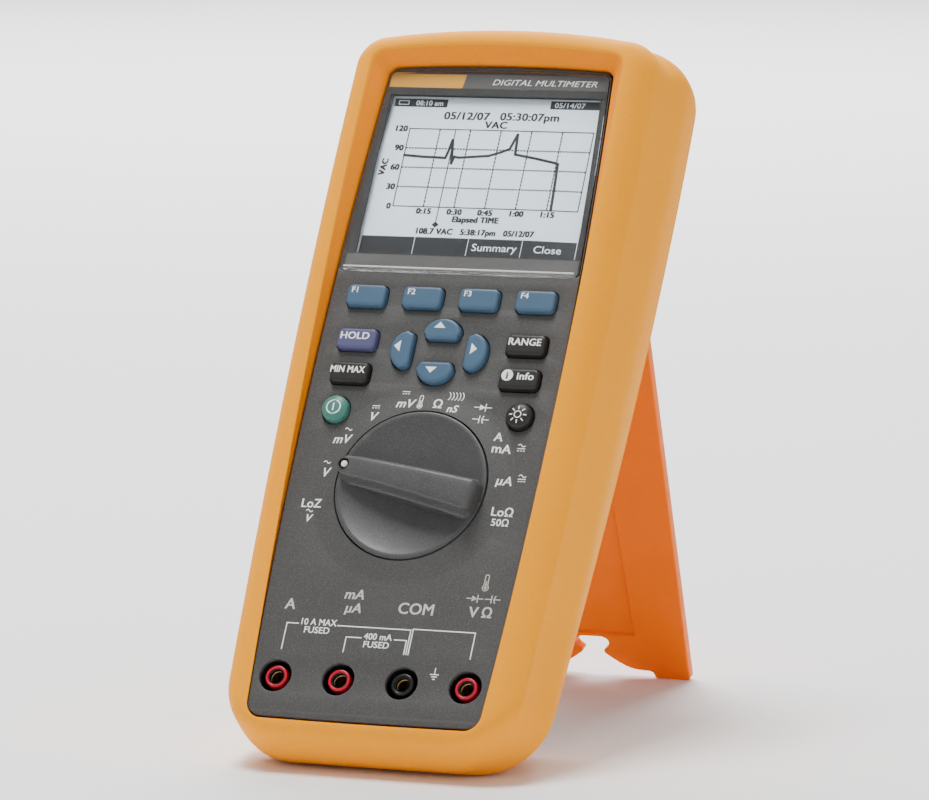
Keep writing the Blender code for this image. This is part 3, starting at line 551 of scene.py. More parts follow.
def front_shell():
    """Soft surround: wall up from the face, crest, convex rim, crease, and flanks down to the seam. Its inner
    faces, up from the face to the crest, take a deeper, darker orange than the rim: painted shade.
    """
    wall_steps, rim_steps, side_steps = 10, 18, 40
    rings = [ring(OPENING, z=-2.4), ring(OPENING, z=-1.0)]
    weights = [None, None]
    for k in range(wall_steps):
        t = k / wall_steps
        section = blend(OPENING, CREST_IN, t ** 1.8)
        section["z"], section["rise"] = OPENING["z"] * (1 - t), CREST_IN["rise"] * t
        rings.append(ring(section))
        weights.append(crest_softness if k >= wall_steps - 1 else None)
    for k in range(rim_steps + 1):
        rings.append(ring(rim_section(k / rim_steps)))
        near_crest = k < 2
        near_crease = k > rim_steps - 8
        weights.append(crest_softness if near_crest else crease_softness if near_crease else None)
    for k in range(1, side_steps + 1):
        u = 4.0 * (k / side_steps) ** 1.25
        rings.append(ring(side_section(u)))
        weights.append(crease_softness if u < 0.9 else None)
    for inset, z in ((0.06, SEAM_Z + 0.06), (0.3, SEAM_Z), (WALL, SEAM_Z)):
        rings.append(ring(SEAM, inset, z=z))
        weights.append(None)
    rings[-4] = ring(SEAM, 0.0, z=SEAM_Z + 0.3)
    rings = soften(rings, weights, 4)
    rings += [ring(section, WALL) for section in (FOOT_FRONT, FLANK, BELLY)]
    rings += [ring(BELLY, WALL + 0.6, z=-6.0), ring(CREASE, WALL + 1.2, z=-2.4)]
    bm = skin(rings, closed=True)
    shell = make("surround", bm, "overmould", ["front_overmould"], smooth=28)
    # The first rings, the wall up from the face, take the darker copy of the rubber: painted shade on the
    # wall.
    shell.data.materials.append(MATS["wall"])
    for face in shell.data.polygons[:(wall_steps + 1) * len(rings[0])]:
        face.material_index = 1


def rear_shell():
    """Soft back: heel, chamfer and the long opening that the stand folds into."""
    steps = 44
    first = 4.0 + SEAM_GAP / 4.5
    rings = [ring(side_section(first), WALL), ring(side_section(first), 0.3)]
    start = ring(side_section(first + 0.06))
    rings.append([point.lerp(edge, 0.3) for point, edge in zip(start, rings[1])])
    for k in range(1, steps + 1):
        rings.append(ring(side_section(first + 0.06 + (8.0 - first - 0.06) * k / steps)))

    def opening(grow, z):
        corner = 3.0 + grow
        right = half_outline(lambda y: 31.0 + grow, 11.2 - grow, 171.4 + grow, corner, corner, 0.0, 0.0)
        return level(mirrored(right), z)

    for grow, deep in ((0.9, 0.0), (0.35, 0.12), (0.1, 0.4), (0.0, 0.9)):
        rings.append(opening(grow, BACK_Z + deep))
    rings += [opening(0.0, RECESS_Z - GAP), ring(BACK, 0.5, z=RECESS_Z - GAP)]
    rings += [ring(HEEL, WALL), ring(FOOT_BACK, WALL)]
    bm = skin(rings, closed=True)
    make("back_surround", bm, "overmould", ["rear_overmould"], smooth=50)


def liner():
    """Dark hard case inside the seam, seen only as the line between the two soft shells."""
    out = WALL + GAP
    span = (BELLY, FLANK, FOOT_FRONT, SEAM, FOOT_BACK, HEEL)
    rings = [ring(section, out) for section in span] + [ring(section, out + 1.6) for section in span[::-1]]
    make("case_liner", skin(rings, closed=True), "inner")


front_shell()
rear_shell()
liner()


# ======== keys

def key_plan(shape, width, height, inset, turn=0.0):
    if shape == "bar":
        return rounded(width - 2 * inset, height - 2 * inset, max(1.6 - inset, 0.4))
    if shape == "round":
        return circle(0.0, 0.0, width / 2 - inset)
    w, h = width / 2 - inset, height - 2 * inset
    corner = max(1.3 - inset, 0.4)
    points = arc((-w + corner + 0.5, -h / 2 + corner), corner, 180, 270, 6)
    points += arc((w - corner - 0.5, -h / 2 + corner), corner, 270, 360, 6)
    shoulder = -h / 2 + corner + 0.4
    for x, y in arc((0.0, 0.0), 1.0, 4, 176, 22):
        points.append((w * x, shoulder + (h / 2 - shoulder) * y))
    angle = radians(turn)
    return [(x * cos(angle) - y * sin(angle), x * sin(angle) + y * cos(angle)) for x, y in points]


def key_height(shape, x, y, width):
    """Height of a key's top at a point measured from its middle."""
    if shape == "round":
        return KEY_TOP + 0.65 * (1 - (x * x + y * y) / (width / 2) ** 2)
    return KEY_TOP


KEY_FINISH = {"key_hold": "key_violet", "key_power": "key_teal"}


def key_cap(name, shape, x, y, width, height, turn=0.0):
    edge = 0.85
    levels = [(-1.2, -4.5), (-1.2, -3.6), (0.0, -3.6), (-0.12, -0.5), (0.0, KEY_TOP - edge)]
    for k in range(1, 6):
        angle = radians(90 * k / 5)
        levels.append((edge * (1 - cos(angle)), KEY_TOP - edge + edge * sin(angle)))
    rings = [level(key_plan(shape, width, height, inset, turn), z, x, y) for inset, z in levels]
    for inset in (1.3, 2.0, 2.8):
        plan = key_plan(shape, width, height, inset, turn)
        rings.append([Vector((x + px, y + py, key_height(shape, px, py, width))) for px, py in plan])
    if shape == "round":
        flat = rings[-4]
        rings[-4] = [Vector((p.x, p.y, key_height(shape, p.x - x, p.y - y, width) - 0.06)) for p in flat]
    blue = name.startswith("key_f") or shape == "moon"
    finish = KEY_FINISH.get(name, "key_blue" if blue else "key_black")
    make(name + "_moulding", skin(rings), finish, [name], name + "_cap", smooth=60)


for key_name, key_spec in KEYS.items():
    key_cap(key_name, *key_spec)


# ======== face plate

SURROUND_R = 30.6


def face_height(x, y):
    """The face swells gently towards the dial."""
    r = hypot(x, y - DIAL_Y)
    return 0.95 * (1 - smooth_step(r, DIAL_R - 1.5, SURROUND_R))


def face_plate():
    outlines = [flat_ring(OPENING, 0.6)]
    outlines.append(flat_ring(WINDOW, -0.3))
    outlines.append(circle(0.0, DIAL_Y, DIAL_R + 0.5, 96))
    for x in JACKS.values():
        outlines.append(circle(x, 0.0, JACK_WELL_R, 48))
    for shape, x, y, width, height, *turn in KEYS.values():
        plan = key_plan(shape, width, height, -0.4, *turn)
        outlines.append([(x + px, y + py) for px, py in plan])
    bm = plate(outlines, -2.4, 0.0, edge=0.22)
    inner = DIAL_R + 0.42
    profile = [(inner + 0.3, -1.6), (inner, -1.5), (inner, 0.7), (inner + 0.08, 0.86)]
    for k in range(13):
        r = inner + 0.25 + (SURROUND_R - inner - 0.25) * k / 12
        profile.append((r, face_height(r, DIAL_Y) + 0.012))
    profile += [(SURROUND_R, -0.05), (inner + 1.0, -0.3)]
    merge(bm, turned(profile, 128, (0.0, DIAL_Y, 0.0)))
    make("face_plate", bm, "face", ["front_case"], smooth=30)


face_plate()


# ======== printing

INK = 0.02


class Print:
    """Collects flat marks, each a thin solid, that lie on a surface of the given height."""

    def __init__(self, height):
        self.bm = bmesh.new()
        self.height = height

    def lay(self, name, material="white", slot="pointer", body="case"):
        """Make the marks one piece that rides on the body."""
        make(name, self.bm, material, body=body)

    def add(self, other):
        for vert in other.verts:
            vert.co.z += self.height(vert.co.x, vert.co.y) + INK / 2
        merge(self.bm, other)

    def text(self, words, x, y, size, slant=0.0, bold=0.0, squeeze=1.0, turn=0.0, align="CENTER"):
        """Letters whose capitals are size high, centred on (x, y); bold is how far the strokes spread."""
        spread = [(0.0, 0.0)]
        if bold:
            spread += [(-bold, -bold / 2), (-bold, bold / 2), (bold, -bold / 2), (bold, bold / 2)]
        for number, (dx, dy) in enumerate(spread):
            curve = bpy.data.curves.new("words", "FONT")
            curve.body = words
            curve.size = size / 0.7
            curve.shear = slant
            curve.extrude = INK / 2
            curve.space_character = 1.0 + 0.8 * bold / size
            curve.resolution_u = 3
            curve.align_x = align
            lift_up = 0.002 * number
            place = Matrix.Translation((x, y, lift_up)) @ Matrix.Rotation(radians(turn), 4, "Z")
            place = place @ Matrix.Diagonal((squeeze, 1, 1, 1)) @ Matrix.Translation((dx, dy - size / 2, 0))
            self.add(from_curve(curve, place))

    def words(self, rows, **style):
        """Several texts, each given as its words, x, y, size and slant."""
        for words, x, y, size, *slant in rows:
            self.text(words, x, y, size, *slant, **style)

    def shape(self, outline):
        self.add(plate([outline], -INK / 2, INK / 2))

    def ring(self, x, y, outer, inner):
        self.add(plate([circle(x, y, outer, 32), circle(x, y, inner, 32)], -INK / 2, INK / 2))

    def line(self, points, width, closed=False):
        """A line of even width with square joints."""
        points = [Vector(point) for point in points]
        count = len(points)
        left, right = [], []
        for i, p in enumerate(points):
            into = (p - points[i - 1] if i or closed else points[1] - p).normalized()
            out = (points[(i + 1) % count] - p).normalized() if i < count - 1 or closed else into
            along = (into + out).normalized()
            side = Vector((-along.y, along.x)) * (width / 2 / max(along.dot(into), 0.35))
            left.append(p + side)
            right.append(p - side)
        if closed:
            self.add(plate([left, right], -INK / 2, INK / 2))
        else:
            self.shape(left + right[::-1])

    def trace(self, points, width):
        """A line with sharp turns, drawn as one bar for each stretch."""
        for a, b in zip(points, points[1:]):
            a, b = Vector(a), Vector(b)
            over = (b - a).normalized() * width * 0.35
            self.line([a - over, b + over], width)

    def dashes(self, start, end, width, dash, space):
        start, end = Vector(start), Vector(end)
        length = (end - start).length
        step = (end - start) / length
        at = 0.0
        while at < length:
            stop = min(at + dash, length)
            self.line([start + step * at, start + step * stop], width)
            at += dash + space

    # ---- small symbols
    def wave(self, x, y, width=2.2):
        points = []
        for k in range(17):
            t = k / 16
            points.append((x + (t - 0.5) * width, y + 0.17 * width * sin(2 * pi * t)))
        self.line(points, 0.28)

    def direct(self, x, y, width=2.4):
        """Direct-voltage symbol: a line over three dashes."""
        self.line([(x - width / 2, y + 0.35), (x + width / 2, y + 0.35)], 0.26)
        for k in (-1, 0, 1):
            middle = x + k * width * 0.36
            self.line([(middle - width * 0.11, y - 0.35), (middle + width * 0.11, y - 0.35)], 0.26)

    def both(self, x, y):
        self.wave(x, y + 0.85, 2.2)
        self.direct(x, y - 0.45, 2.4)

    def diode(self, x, y, size=1.0):
        self.line([(x - 2.4 * size, y), (x + 2.4 * size, y)], 0.26)
        self.line([(x + 0.75 * size, y - 1.1 * size), (x + 0.75 * size, y + 1.1 * size)], 0.3)
        back, half = x - 0.85 * size, 0.8 * size
        self.shape([(back, y - half), (x + 0.7 * size, y), (back, y + half)])

    def capacitor(self, x, y, size=1.0):
        self.line([(x - 2.2 * size, y), (x - 0.35 * size, y)], 0.26)
        self.line([(x + 0.45 * size, y), (x + 2.2 * size, y)], 0.26)
        self.line([(x - 0.35 * size, y - 1.1 * size), (x - 0.35 * size, y + 1.1 * size)], 0.3)
        self.line(arc((x + 2.0 * size, y), 1.6 * size, 222, 138, 8), 0.3)

    def thermometer(self, x, y, size=1.0):
        tube = arc((x, y + 1.6 * size), 0.5 * size, 0, 180, 8)
        bulb = arc((x, y - 1.5 * size), 0.8 * size, 128, 412, 16)
        self.line(tube + bulb, 0.24, closed=True)
        self.ring(x, y - 1.5 * size, 0.42 * size, 0.1 * size)
        self.line([(x, y - 1.4 * size), (x, y + 0.4 * size)], 0.3)


def on_face(x, y):
    return face_height(x, y) + 0.012


def dial_marks():
    ink = Print(on_face)
    lean = 0.22
    ink.words([
        ("LoZ", -29.2, 52.4, 2.6), ("V", -29.3, 47.9, 2.2, lean), ("V", -27.0, 62.0, 2.75, lean),
        ("mV", -24.3, 72.5, 2.75, lean), ("V", -16.3, 79.8, 2.75, lean), ("mV", -7.3, 84.3, 2.75, lean),
        ("Ω", 2.8, 84.5, 2.75), ("nS", 7.3, 83.2, 2.3, lean), ("A", 23.0, 75.4, 2.6),
        ("mA", 24.6, 71.8, 2.75), ("µA", 27.3, 62.1, 2.75, 0.15), ("LoΩ", 28.8, 52.7, 2.55)], bold=0.07)
    ink.text("50Ω", 28.7, 49.5, 2.1, bold=0.05)
    ink.wave(-29.3, 50.1, 2.0)
    ink.wave(-27.1, 65.1)
    ink.wave(-22.8, 75.6)
    ink.direct(-16.0, 82.9)
    ink.direct(-7.7, 87.7)
    ink.both(30.4, 72.3)
    ink.both(32.5, 63.0)
    ink.thermometer(-2.6, 85.0, 0.95)
    for k in range(5):
        ink.line(arc((4.3 + 1.0 * k, 87.2), 1.7, -48, 48, 8), 0.26)
    ink.diode(16.4, 84.2, 1.1)
    ink.capacitor(16.5, 80.4, 1.1)
    ink.lay("dial_print")


def jack_marks():
    ink = Print(on_face)
    ink.words([("A", -28.7, 21.7, 3.2), ("mA", -10.1, 25.6, 2.9, 0.15), ("µA", -9.7, 21.5, 2.9, 0.15),
               ("COM", 9.3, 22.3, 3.3), ("V", 26.4, 22.4, 3.1), ("Ω", 30.4, 22.4, 3.0)], bold=0.08)
    ink.diode(26.0, 26.4, 1.05)
    ink.capacitor(31.3, 26.4, 1.05)
    ink.thermometer(28.4, 31.4, 1.1)
    ink.lay("jack_print", "grey_print")

    ink = Print(on_face)
    for route in ([(-28.5, 7.9), (-28.5, 15.9), (-24.9, 15.9)], [(-13.3, 15.9), (9.05, 15.9), (9.05, 8.4)],
                  [(-9.8, 8.1), (-9.8, 12.7), (-5.1, 12.7)], [(4.6, 12.7), (8.4, 12.7), (8.4, 8.4)],
                  [(9.7, 8.4), (9.7, 16.2), (28.3, 16.2), (28.3, 8.3)]):
        ink.line(route, 0.32)
    ink.text("10 A MAX", -19.1, 16.6, 1.95, bold=0.045, squeeze=0.9)
    ink.text("400 mA", -0.3, 13.3, 1.9, bold=0.045, squeeze=0.95)
    ink.words([("FUSED", -19.1, 14.2, 1.9), ("FUSED", -0.4, 10.9, 1.9)], bold=0.045)
    ink.line([(18.8, 5.2), (18.8, 3.2)], 0.26)
    for width, y in ((2.6, 3.2), (1.7, 2.5), (0.8, 1.8)):
        ink.line([(18.8 - width / 2, y), (18.8 + width / 2, y)], 0.28)
    ink.lay("jack_brackets")


def key_marks():
    """Each key's own print rides on the key."""
    def on_key(name):
        shape, x, y, width = KEYS[name][:4]
        return Print(lambda px, py: key_height(shape, px - x, py - y, width) + 0.01)

    def lay_on(name, ink):
        ink.lay(name + "_print", body=name + "_cap")

    for number in range(1, 5):
        name = "key_f%d" % number
        ink = on_key(name)
        ink.text("F%d" % number, KEYS[name][1] - 3.4, KEYS[name][2] + 1.45, 1.75, bold=0.05)
        lay_on(name, ink)
    words = {"key_hold": ("HOLD", 2.15, 1.05, -0.6), "key_min_max": ("MIN MAX", 2.05, 0.84, -0.6),
             "key_range": ("RANGE", 2.15, 0.98, -0.3), "key_info": ("info", 2.15, 1.1, 2.0)}
    for name, (word, size, squeeze, right) in words.items():
        ink = on_key(name)
        x, y = KEYS[name][1:3]
        ink.text(word, x + right, y + 0.8, size, bold=0.075, squeeze=squeeze)
        if name == "key_info":
            ink.shape(circle(x - 3.5, y + 0.9, 1.75, 32))
        lay_on(name, ink)
    ink = Print(lambda px, py: KEY_TOP + 0.035)
    ink.text("i", KEYS["key_info"][1] - 3.5, KEYS["key_info"][2] + 0.85, 2.1, bold=0.14)
    ink.lay("key_info_letter", "key_black", "key_black", "key_info_cap")
    for name, turn in (("key_up", 0), ("key_left", 90), ("key_down", 180), ("key_right", 270)):
        ink = on_key(name)
        x, y = KEYS[name][1:3]
        swing = Matrix.Rotation(radians(turn), 2)
        corners = [swing @ Vector(point) for point in ((-1.75, -0.7), (1.75, -0.7), (0.0, 1.2))]
        ink.shape([(x - 0.9 + c.x, y + 0.8 + c.y) for c in corners])
        lay_on(name, ink)
    ink = on_key("key_power")
    x, y = KEYS["key_power"][1:3]
    ink.ring(x, y, 2.25, 1.85)
    ink.line([(x, y - 1.15), (x, y + 1.15)], 0.45)
    lay_on("key_power", ink)
    ink = on_key("key_backlight")
    x, y = KEYS["key_backlight"][1:3]
    ink.ring(x, y, 1.15, 0.85)
    for k in range(8):
        angle = radians(45 * k)
        ray = Vector((cos(angle), sin(angle)))
        ink.line([Vector((x, y)) + ray * 1.6, Vector((x, y)) + ray * 2.6], 0.34)
    lay_on("key_backlight", ink)


dial_marks()
jack_marks()
key_marks()


# ======== display

LCD_Z = -2.6
LCD_LEFT, LCD_RIGHT, LCD_LOW, LCD_TOP = -33.7, 33.7, 129.8, 182.9


def display_glass():
    """The pale display glass and everything that its segments draw."""
    width, height = LCD_RIGHT - LCD_LEFT, LCD_TOP - LCD_LOW
    middle = ((LCD_LEFT + LCD_RIGHT) / 2, (LCD_LOW + LCD_TOP) / 2)
    slab = plate([rounded(width, height, 0.4, 3, *middle)], LCD_Z - 1.8, LCD_Z, edge=0.08)
    make("display_glass", slab, "lcd", ["lcd_panel"])

    dark = Print(lambda x, y: LCD_Z + 0.005)
    light = Print(lambda x, y: LCD_Z + 0.03)

    # status tags, date and unit
    dark.shape(box(-32.0, 179.5, -15.4, 182.1))
    dark.shape(box(16.6, 179.7, 33.0, 182.3))
    light.line(box(-30.6, 180.2, -27.6, 181.4), 0.22, closed=True)
    light.text("08:10 am", -21.0, 180.8, 1.6, bold=0.04)
    light.text("05/14/07", 22.6, 181.0, 1.6, squeeze=1.15, bold=0.03)
    dark.text("05/12/07", -8.6, 176.9, 2.4, bold=0.12, squeeze=1.12)
    dark.words([("05:30:07pm", 11.0, 177.0, 2.4), ("VAC", 1.1, 174.2, 2.2)], bold=0.12, squeeze=1.1)

    # graph: box, dotted rules, trace and cursor
    left, right, low, high = -25.5, 31.6, 147.3, 172.4
    columns = [left + (right - left) * k / 6 for k in range(7)]
    rows = [low + (high - low) * k / 4 for k in range(5)]
    dark.line(box(left, low, right, high), 0.34, closed=True)
    for y in rows[1:-1]:
        dark.dashes((left, y), (right, y), 0.5, 0.66, 0.28)
    for x in columns[1:-1]:
        dark.dashes((x, low), (x, high), 0.42, 1.0, 0.2)
    for y, number in zip(rows, ("0", "30", "60", "90", "120")):
        dark.text(number, left - 0.7, y, 1.8, bold=0.17, align="RIGHT")
    for x, time in zip(columns[1:-1], ("0:15", "0:30", "0:45", "1:00", "1:15")):
        dark.text(time, x + 0.4, low - 1.35, 1.75, bold=0.17)
    dark.text("VAC", -31.2, 159.8, 1.85, bold=0.15, turn=84)
    dark.text("Elapsed TIME", 0.9, 143.6, 1.8, bold=0.18, squeeze=0.95)
    dark.text("108.7 VAC   5:38:17pm   05/12/07", 1.4, 139.6, 1.8, bold=0.16, squeeze=0.95)
    trace = [(0.0, 0.655), (0.1, 0.64), (0.228, 0.632), (0.237, 0.72), (0.248, 0.868), (0.258, 0.72),
             (0.266, 0.562), (0.276, 0.65), (0.3, 0.64), (0.46, 0.672), (0.52, 0.72), (0.567, 0.768),
             (0.58, 0.86), (0.594, 0.955), (0.598, 0.83), (0.602, 0.7), (0.65, 0.68), (0.715, 0.655),
             (0.83, 0.602), (0.842, 0.59), (0.85, 0.3), (0.856, 0.0)]
    dark.trace([(left + (right - left) * t, low + (high - low) * v) for t, v in trace], 0.85)
    cursor = left + (right - left) * 0.252
    dark.line([(cursor, high), (cursor, low - 5.4)], 0.32)
    dark.shape([(cursor, 140.7), (cursor + 1.1, 141.7), (cursor, 142.7), (cursor - 1.1, 141.7)])

    # soft-key bar in four cells
    cell = 66.6 / 4
    for k in range(4):
        x0 = -33.1 + cell * k
        dark.shape(box(x0 + 0.1, 132.1, x0 + cell - 0.1, 137.6))
    light.words([("Summary", -33.1 + cell * 2.5, 134.9, 2.3), ("Close", -33.1 + cell * 3.48, 134.9, 2.3)],
                squeeze=1.12, bold=0.02)
    dark.lay("display_segments", "lcd_ink", "display")
    light.lay("display_light_segments", "lcd", "display")


def window():
    """Clear window with a polished bevel, and the mask printed on its underside."""
    steps = ((0.12, -0.9), (0.0, -0.8), (0.0, 0.3), (0.07, 0.42), (0.8, 0.88), (1.0, 0.95))
    rings = [ring(WINDOW, inset, z=z) for inset, z in steps]
    make("window_lens", skin(rings), "lens", ["display_window"], smooth=18)

    # A pale strip along the window's lower edge: a painted highlight where the lens edge catches the light.
    edge_highlight = plate([rounded(71.0, 0.42, 0.18, 3, 0.0, 126.5)], 0.55, 0.93, edge=0.1)
    make("window_edge_painted_highlight", edge_highlight, "painted_lens_highlight")

    low, top = -1.25, -1.0
    mask = plate([flat_ring(WINDOW, 0.15), box(-33.1, 131.4, 34.4, 182.6)], low, top)
    make("window_mask", mask, "black")
    strip = plate([box(-34.4, 185.0, 34.4, 189.7)], top, top + 0.03)
    make("window_header", strip, "header")
    skirt = plate([box(-35.6, 127.0, 35.6, 131.0)], top, top + 0.03)
    make("window_skirt", skirt, "header")
    block = plate([[(-33.8, 185.0), (-11.2, 185.0), (-10.6, 189.4), (-33.8, 189.4)]], top + 0.03, top + 0.05)
    make("window_amber_block", block, "amber")
    ink = Print(lambda x, y: top + 0.05)
    ink.text("DIGITAL MULTIMETER", 14.0, 187.2, 1.85, slant=0.25, squeeze=1.25)
    ink.lay("window_words")

    band = [ring(WINDOW, inset, z=z) for inset, z in ((0.4, -1.7), (0.4, -1.3), (2.1, -1.3), (2.1, -1.7))]
    make("window_seal", skin(band, closed=True), "seal", ["window_gasket"])


display_glass()
window()


# ======== dial

DIAL = FACE @ Matrix.Translation((0.0, DIAL_Y, 0.0)) @ Matrix.Rotation(POINTER, 4, "Z")


def knob():
    """Dished disc with a tapered pointer bar: low and narrow at the dot, high and wide at the grip."""
    flange = 1.5
    dish = DIAL_R - flange
    profile = [(0.0, -6.6), (5.0, -6.6), (5.0, -1.9), (DIAL_R, -1.9), (DIAL_R, FLANGE_TOP - 0.35),
               (DIAL_R - 0.1, FLANGE_TOP - 0.1), (DIAL_R - 0.35, FLANGE_TOP), (dish + 0.15, FLANGE_TOP)]
    steps = 26
    for k in range(steps):
        share = 1 - k / steps
        drop = 2.5 * (1 - share ** 2) ** 0.85
        profile.append((dish * share, FLANGE_TOP - 0.05 - drop))
    profile.append((0.0, FLANGE_TOP - 2.55))
    disc = make("knob_moulding", turned(profile, 128), "knob", ["dial_knob"], "dial", DIAL, 40)

    def section(x, half, top, foot=1.0):
        """Across the bar, from its left foot over the top to its right foot: a ledge runs along each side."""
        ledge = half + 1.55 * foot
        right = [(ledge - 0.1, -1.2), (ledge - 0.15, top - 4.9), (ledge, top - 4.2),
                 (ledge - 0.05, top - 3.95), (ledge - 0.3, top - 3.75), (half + 0.7 * foot, top - 2.4),
                 (half + 0.3, top - 1.1), (half + 0.1, top - 0.6), (half - 0.12, top - 0.3),
                 (half - 0.45, top - 0.1), (half - 0.9, top), (half * 0.4, top + 0.06)]
        side = [Vector((x, y, z)) for y, z in right]
        return [Vector((p.x, -p.y, p.z)) for p in side] + side[::-1]

    def along(x):
        """Half width and height of the bar at x; +x is the dot's end."""
        marks = [(-20.2, 4.4, 6.8), (-12.0, 4.05, 6.85), (-4.0, 3.7, 6.7), (8.0, 3.2, 6.0), (14.0, 3.0, 5.4),
                 (18.0, 2.9, 4.8), (20.0, 2.8, 4.45)]
        low = max(k for k in range(len(marks) - 1) if marks[k][0] <= x or k == 0)
        t = (x - marks[low][0]) / (marks[low + 1][0] - marks[low][0])
        return tuple(marks[low][k] + (marks[low + 1][k] - marks[low][k]) * t for k in (1, 2))

    rings = []
    grip_half, grip_top = along(-20.2)
    for out, fall in ((1.5, 3.2), (1.42, 2.0), (1.25, 1.2), (0.85, 0.55), (0.45, 0.2), (0.2, 0.05)):
        rings.append(section(-20.2 - out, grip_half - 0.42 * out, grip_top - fall, 1.0 - 0.35 * out / 1.5))
    for k in range(17):
        x = -20.2 + 40.2 * k / 16
        half, top = along(x)
        rings.append(section(x, half, top))
    dot_half, dot_top = along(20.0)
    for k in range(1, 9):
        angle = radians(84 * k / 8)
        rings.append(section(20.0 + 2.4 * sin(angle), max(dot_half * cos(angle), 0.95),
                             dot_top - 1.1 * (1 - cos(angle)), max(cos(angle), 0.1)))
    carve(disc, skin(rings), DIAL, "UNION")
    at_dot = (DOT_AT, 0.0, 0.0)
    carve(disc, turned([(0.0, 3.3), (1.5, 3.3), (1.75, 6.0), (0.0, 6.0)], 40, at_dot), DIAL)
    dot = [(0.0, 2.9), (1.0, 2.9), (1.0, 4.15), (0.92, 4.32), (0.65, 4.45), (0.0, 4.5)]
    make("knob_dot", turned(dot, 40, at_dot), "white", ["dial_pointer_dot"], "dial", DIAL)
    # A black lining in the pit round the dot, darker than the knob's own plastic: painted shade in the pit.
    pit_shade = [(1.02, 3.35), (1.48, 3.35), (1.64, 4.7), (1.52, 4.7), (1.3, 3.9), (1.02, 3.8)]
    make("knob_dot_pit_shade", turned(pit_shade, 40, at_dot), "black", (), "dial", DIAL)


def dial_well():
    """Dark pan under the knob, seen through the gap round it."""
    profile = [(7.0, -3.2), (DIAL_R + 0.5, -3.2), (DIAL_R + 0.5, -2.6), (7.0, -2.6)]
    make("dial_pan", turned(profile, 96, (0.0, DIAL_Y, 0.0)), "black")


knob()
dial_well()


# ======== jacks

def jack(label, x):
    """Well, coloured tube and sprung brass contact of one input jack."""
    axis = (x, 0.0, 0.0)
    outer, bore = 3.3, 2.05
    near, far = outer + 0.3, JACK_WELL_R + 0.3
    well = [(near, JACK_FLOOR), (JACK_WELL_R, JACK_FLOOR), (JACK_WELL_R, -1.2), (far, -1.2),
            (far, JACK_FLOOR - 1.0), (near, JACK_FLOOR - 1.0)]
    make("jack_well_" + label, turned(well, 48, axis), "black")
    inner = bore + 0.35
    tube = [(2.8, -21.8), (outer, -21.8)] + arc((outer - 0.45, -1.15), 0.45, 0, 90, 5)
    tube += arc((inner + 0.3, -1.0), 0.3, 90, 180, 5) + [(inner, -2.4), (2.8, -2.4)]
    # A glossy black lining in the mouth of the bore, inside the coloured tube: painted shade that darkens the
    # tube's inner edge.
    bore_shade = [(bore, -2.5), (inner - 0.02, -2.5), (inner - 0.02, -1.15), (inner - 0.1, -1.05),
              (bore + 0.08, -1.05), (bore, -1.15)]
    make("jack_bore_shade_" + label, turned(bore_shade, 48, axis), "black_gloss")
    finish, slot = ("black_gloss", "collar_black") if label == "common" else ("red", "collar_red")
    make("jack_tube_" + label, turned(tube, 48, axis), finish, ["jack_collar_" + label])
    socket = [(0.0, -25.4), (2.5, -22.0), (2.5, -2.9), (2.3, -2.8), (2.12, -2.9), (1.95, -6.0), (1.9, -14.0),
              (1.95, -20.6), (0.0, -21.0)]
    make("jack_socket_" + label, turned(socket, 32, axis), "brass", ["jack_contact_" + label])


for jack_label, jack_x in JACKS.items():
    jack(jack_label, jack_x)


# ======== back

def recess_floor():
    """Hard floor of the recess, with the screws' counterbores."""
    back = flat_ring(BACK, 1.2)
    outlines = [back, box(-DOOR_HALF, DOOR_LOW, DOOR_HALF, DOOR_TOP)]
    outlines += [circle(x, y, 2.9) for x, y in SCREW_SPOTS]
    bm = plate(outlines, RECESS_Z, RECESS_Z + 1.6, edge=0.15)
    for x, y in SCREW_SPOTS:
        ledge = [(1.6, RECESS_Z + 1.0), (2.9, RECESS_Z + 1.0), (2.9, RECESS_Z + 1.5), (1.6, RECESS_Z + 1.5)]
        merge(bm, turned(ledge, 40, (x, y, 0.0)))
    make("recess_floor", bm, "inner", ["rear_case"], smooth=30)
    for number, (x, y) in enumerate(SCREW_SPOTS, 1):
        top = RECESS_Z - 0.15
        under = RECESS_Z + 0.95
        head = [(0.0, top), (1.2, top), (1.9, top + 0.1), (2.35, top + 0.4), (2.45, top + 0.75),
                (2.45, under), (1.2, under), (1.2, -30.0), (0.0, -29.5)]
        name = "screw_%d" % number
        screw = make(name, turned(head, 40, (x, y, 0.0)), "steel", ["case_" + name])
        for turn in (0, 90):
            swing = Matrix.Rotation(radians(turn), 3, "Z")
            corners = ((1.25, 0.24), (-1.25, 0.24), (-1.25, -0.24), (1.25, -0.24))
            wide = [swing @ Vector((px, py, top - 0.5)) + Vector((x, y, 0)) for px, py in corners]
            deep = [swing @ Vector((px * 0.5, py, top + 0.9)) + Vector((x, y, 0)) for px, py in corners]
            carve(screw, skin([wide, deep]))


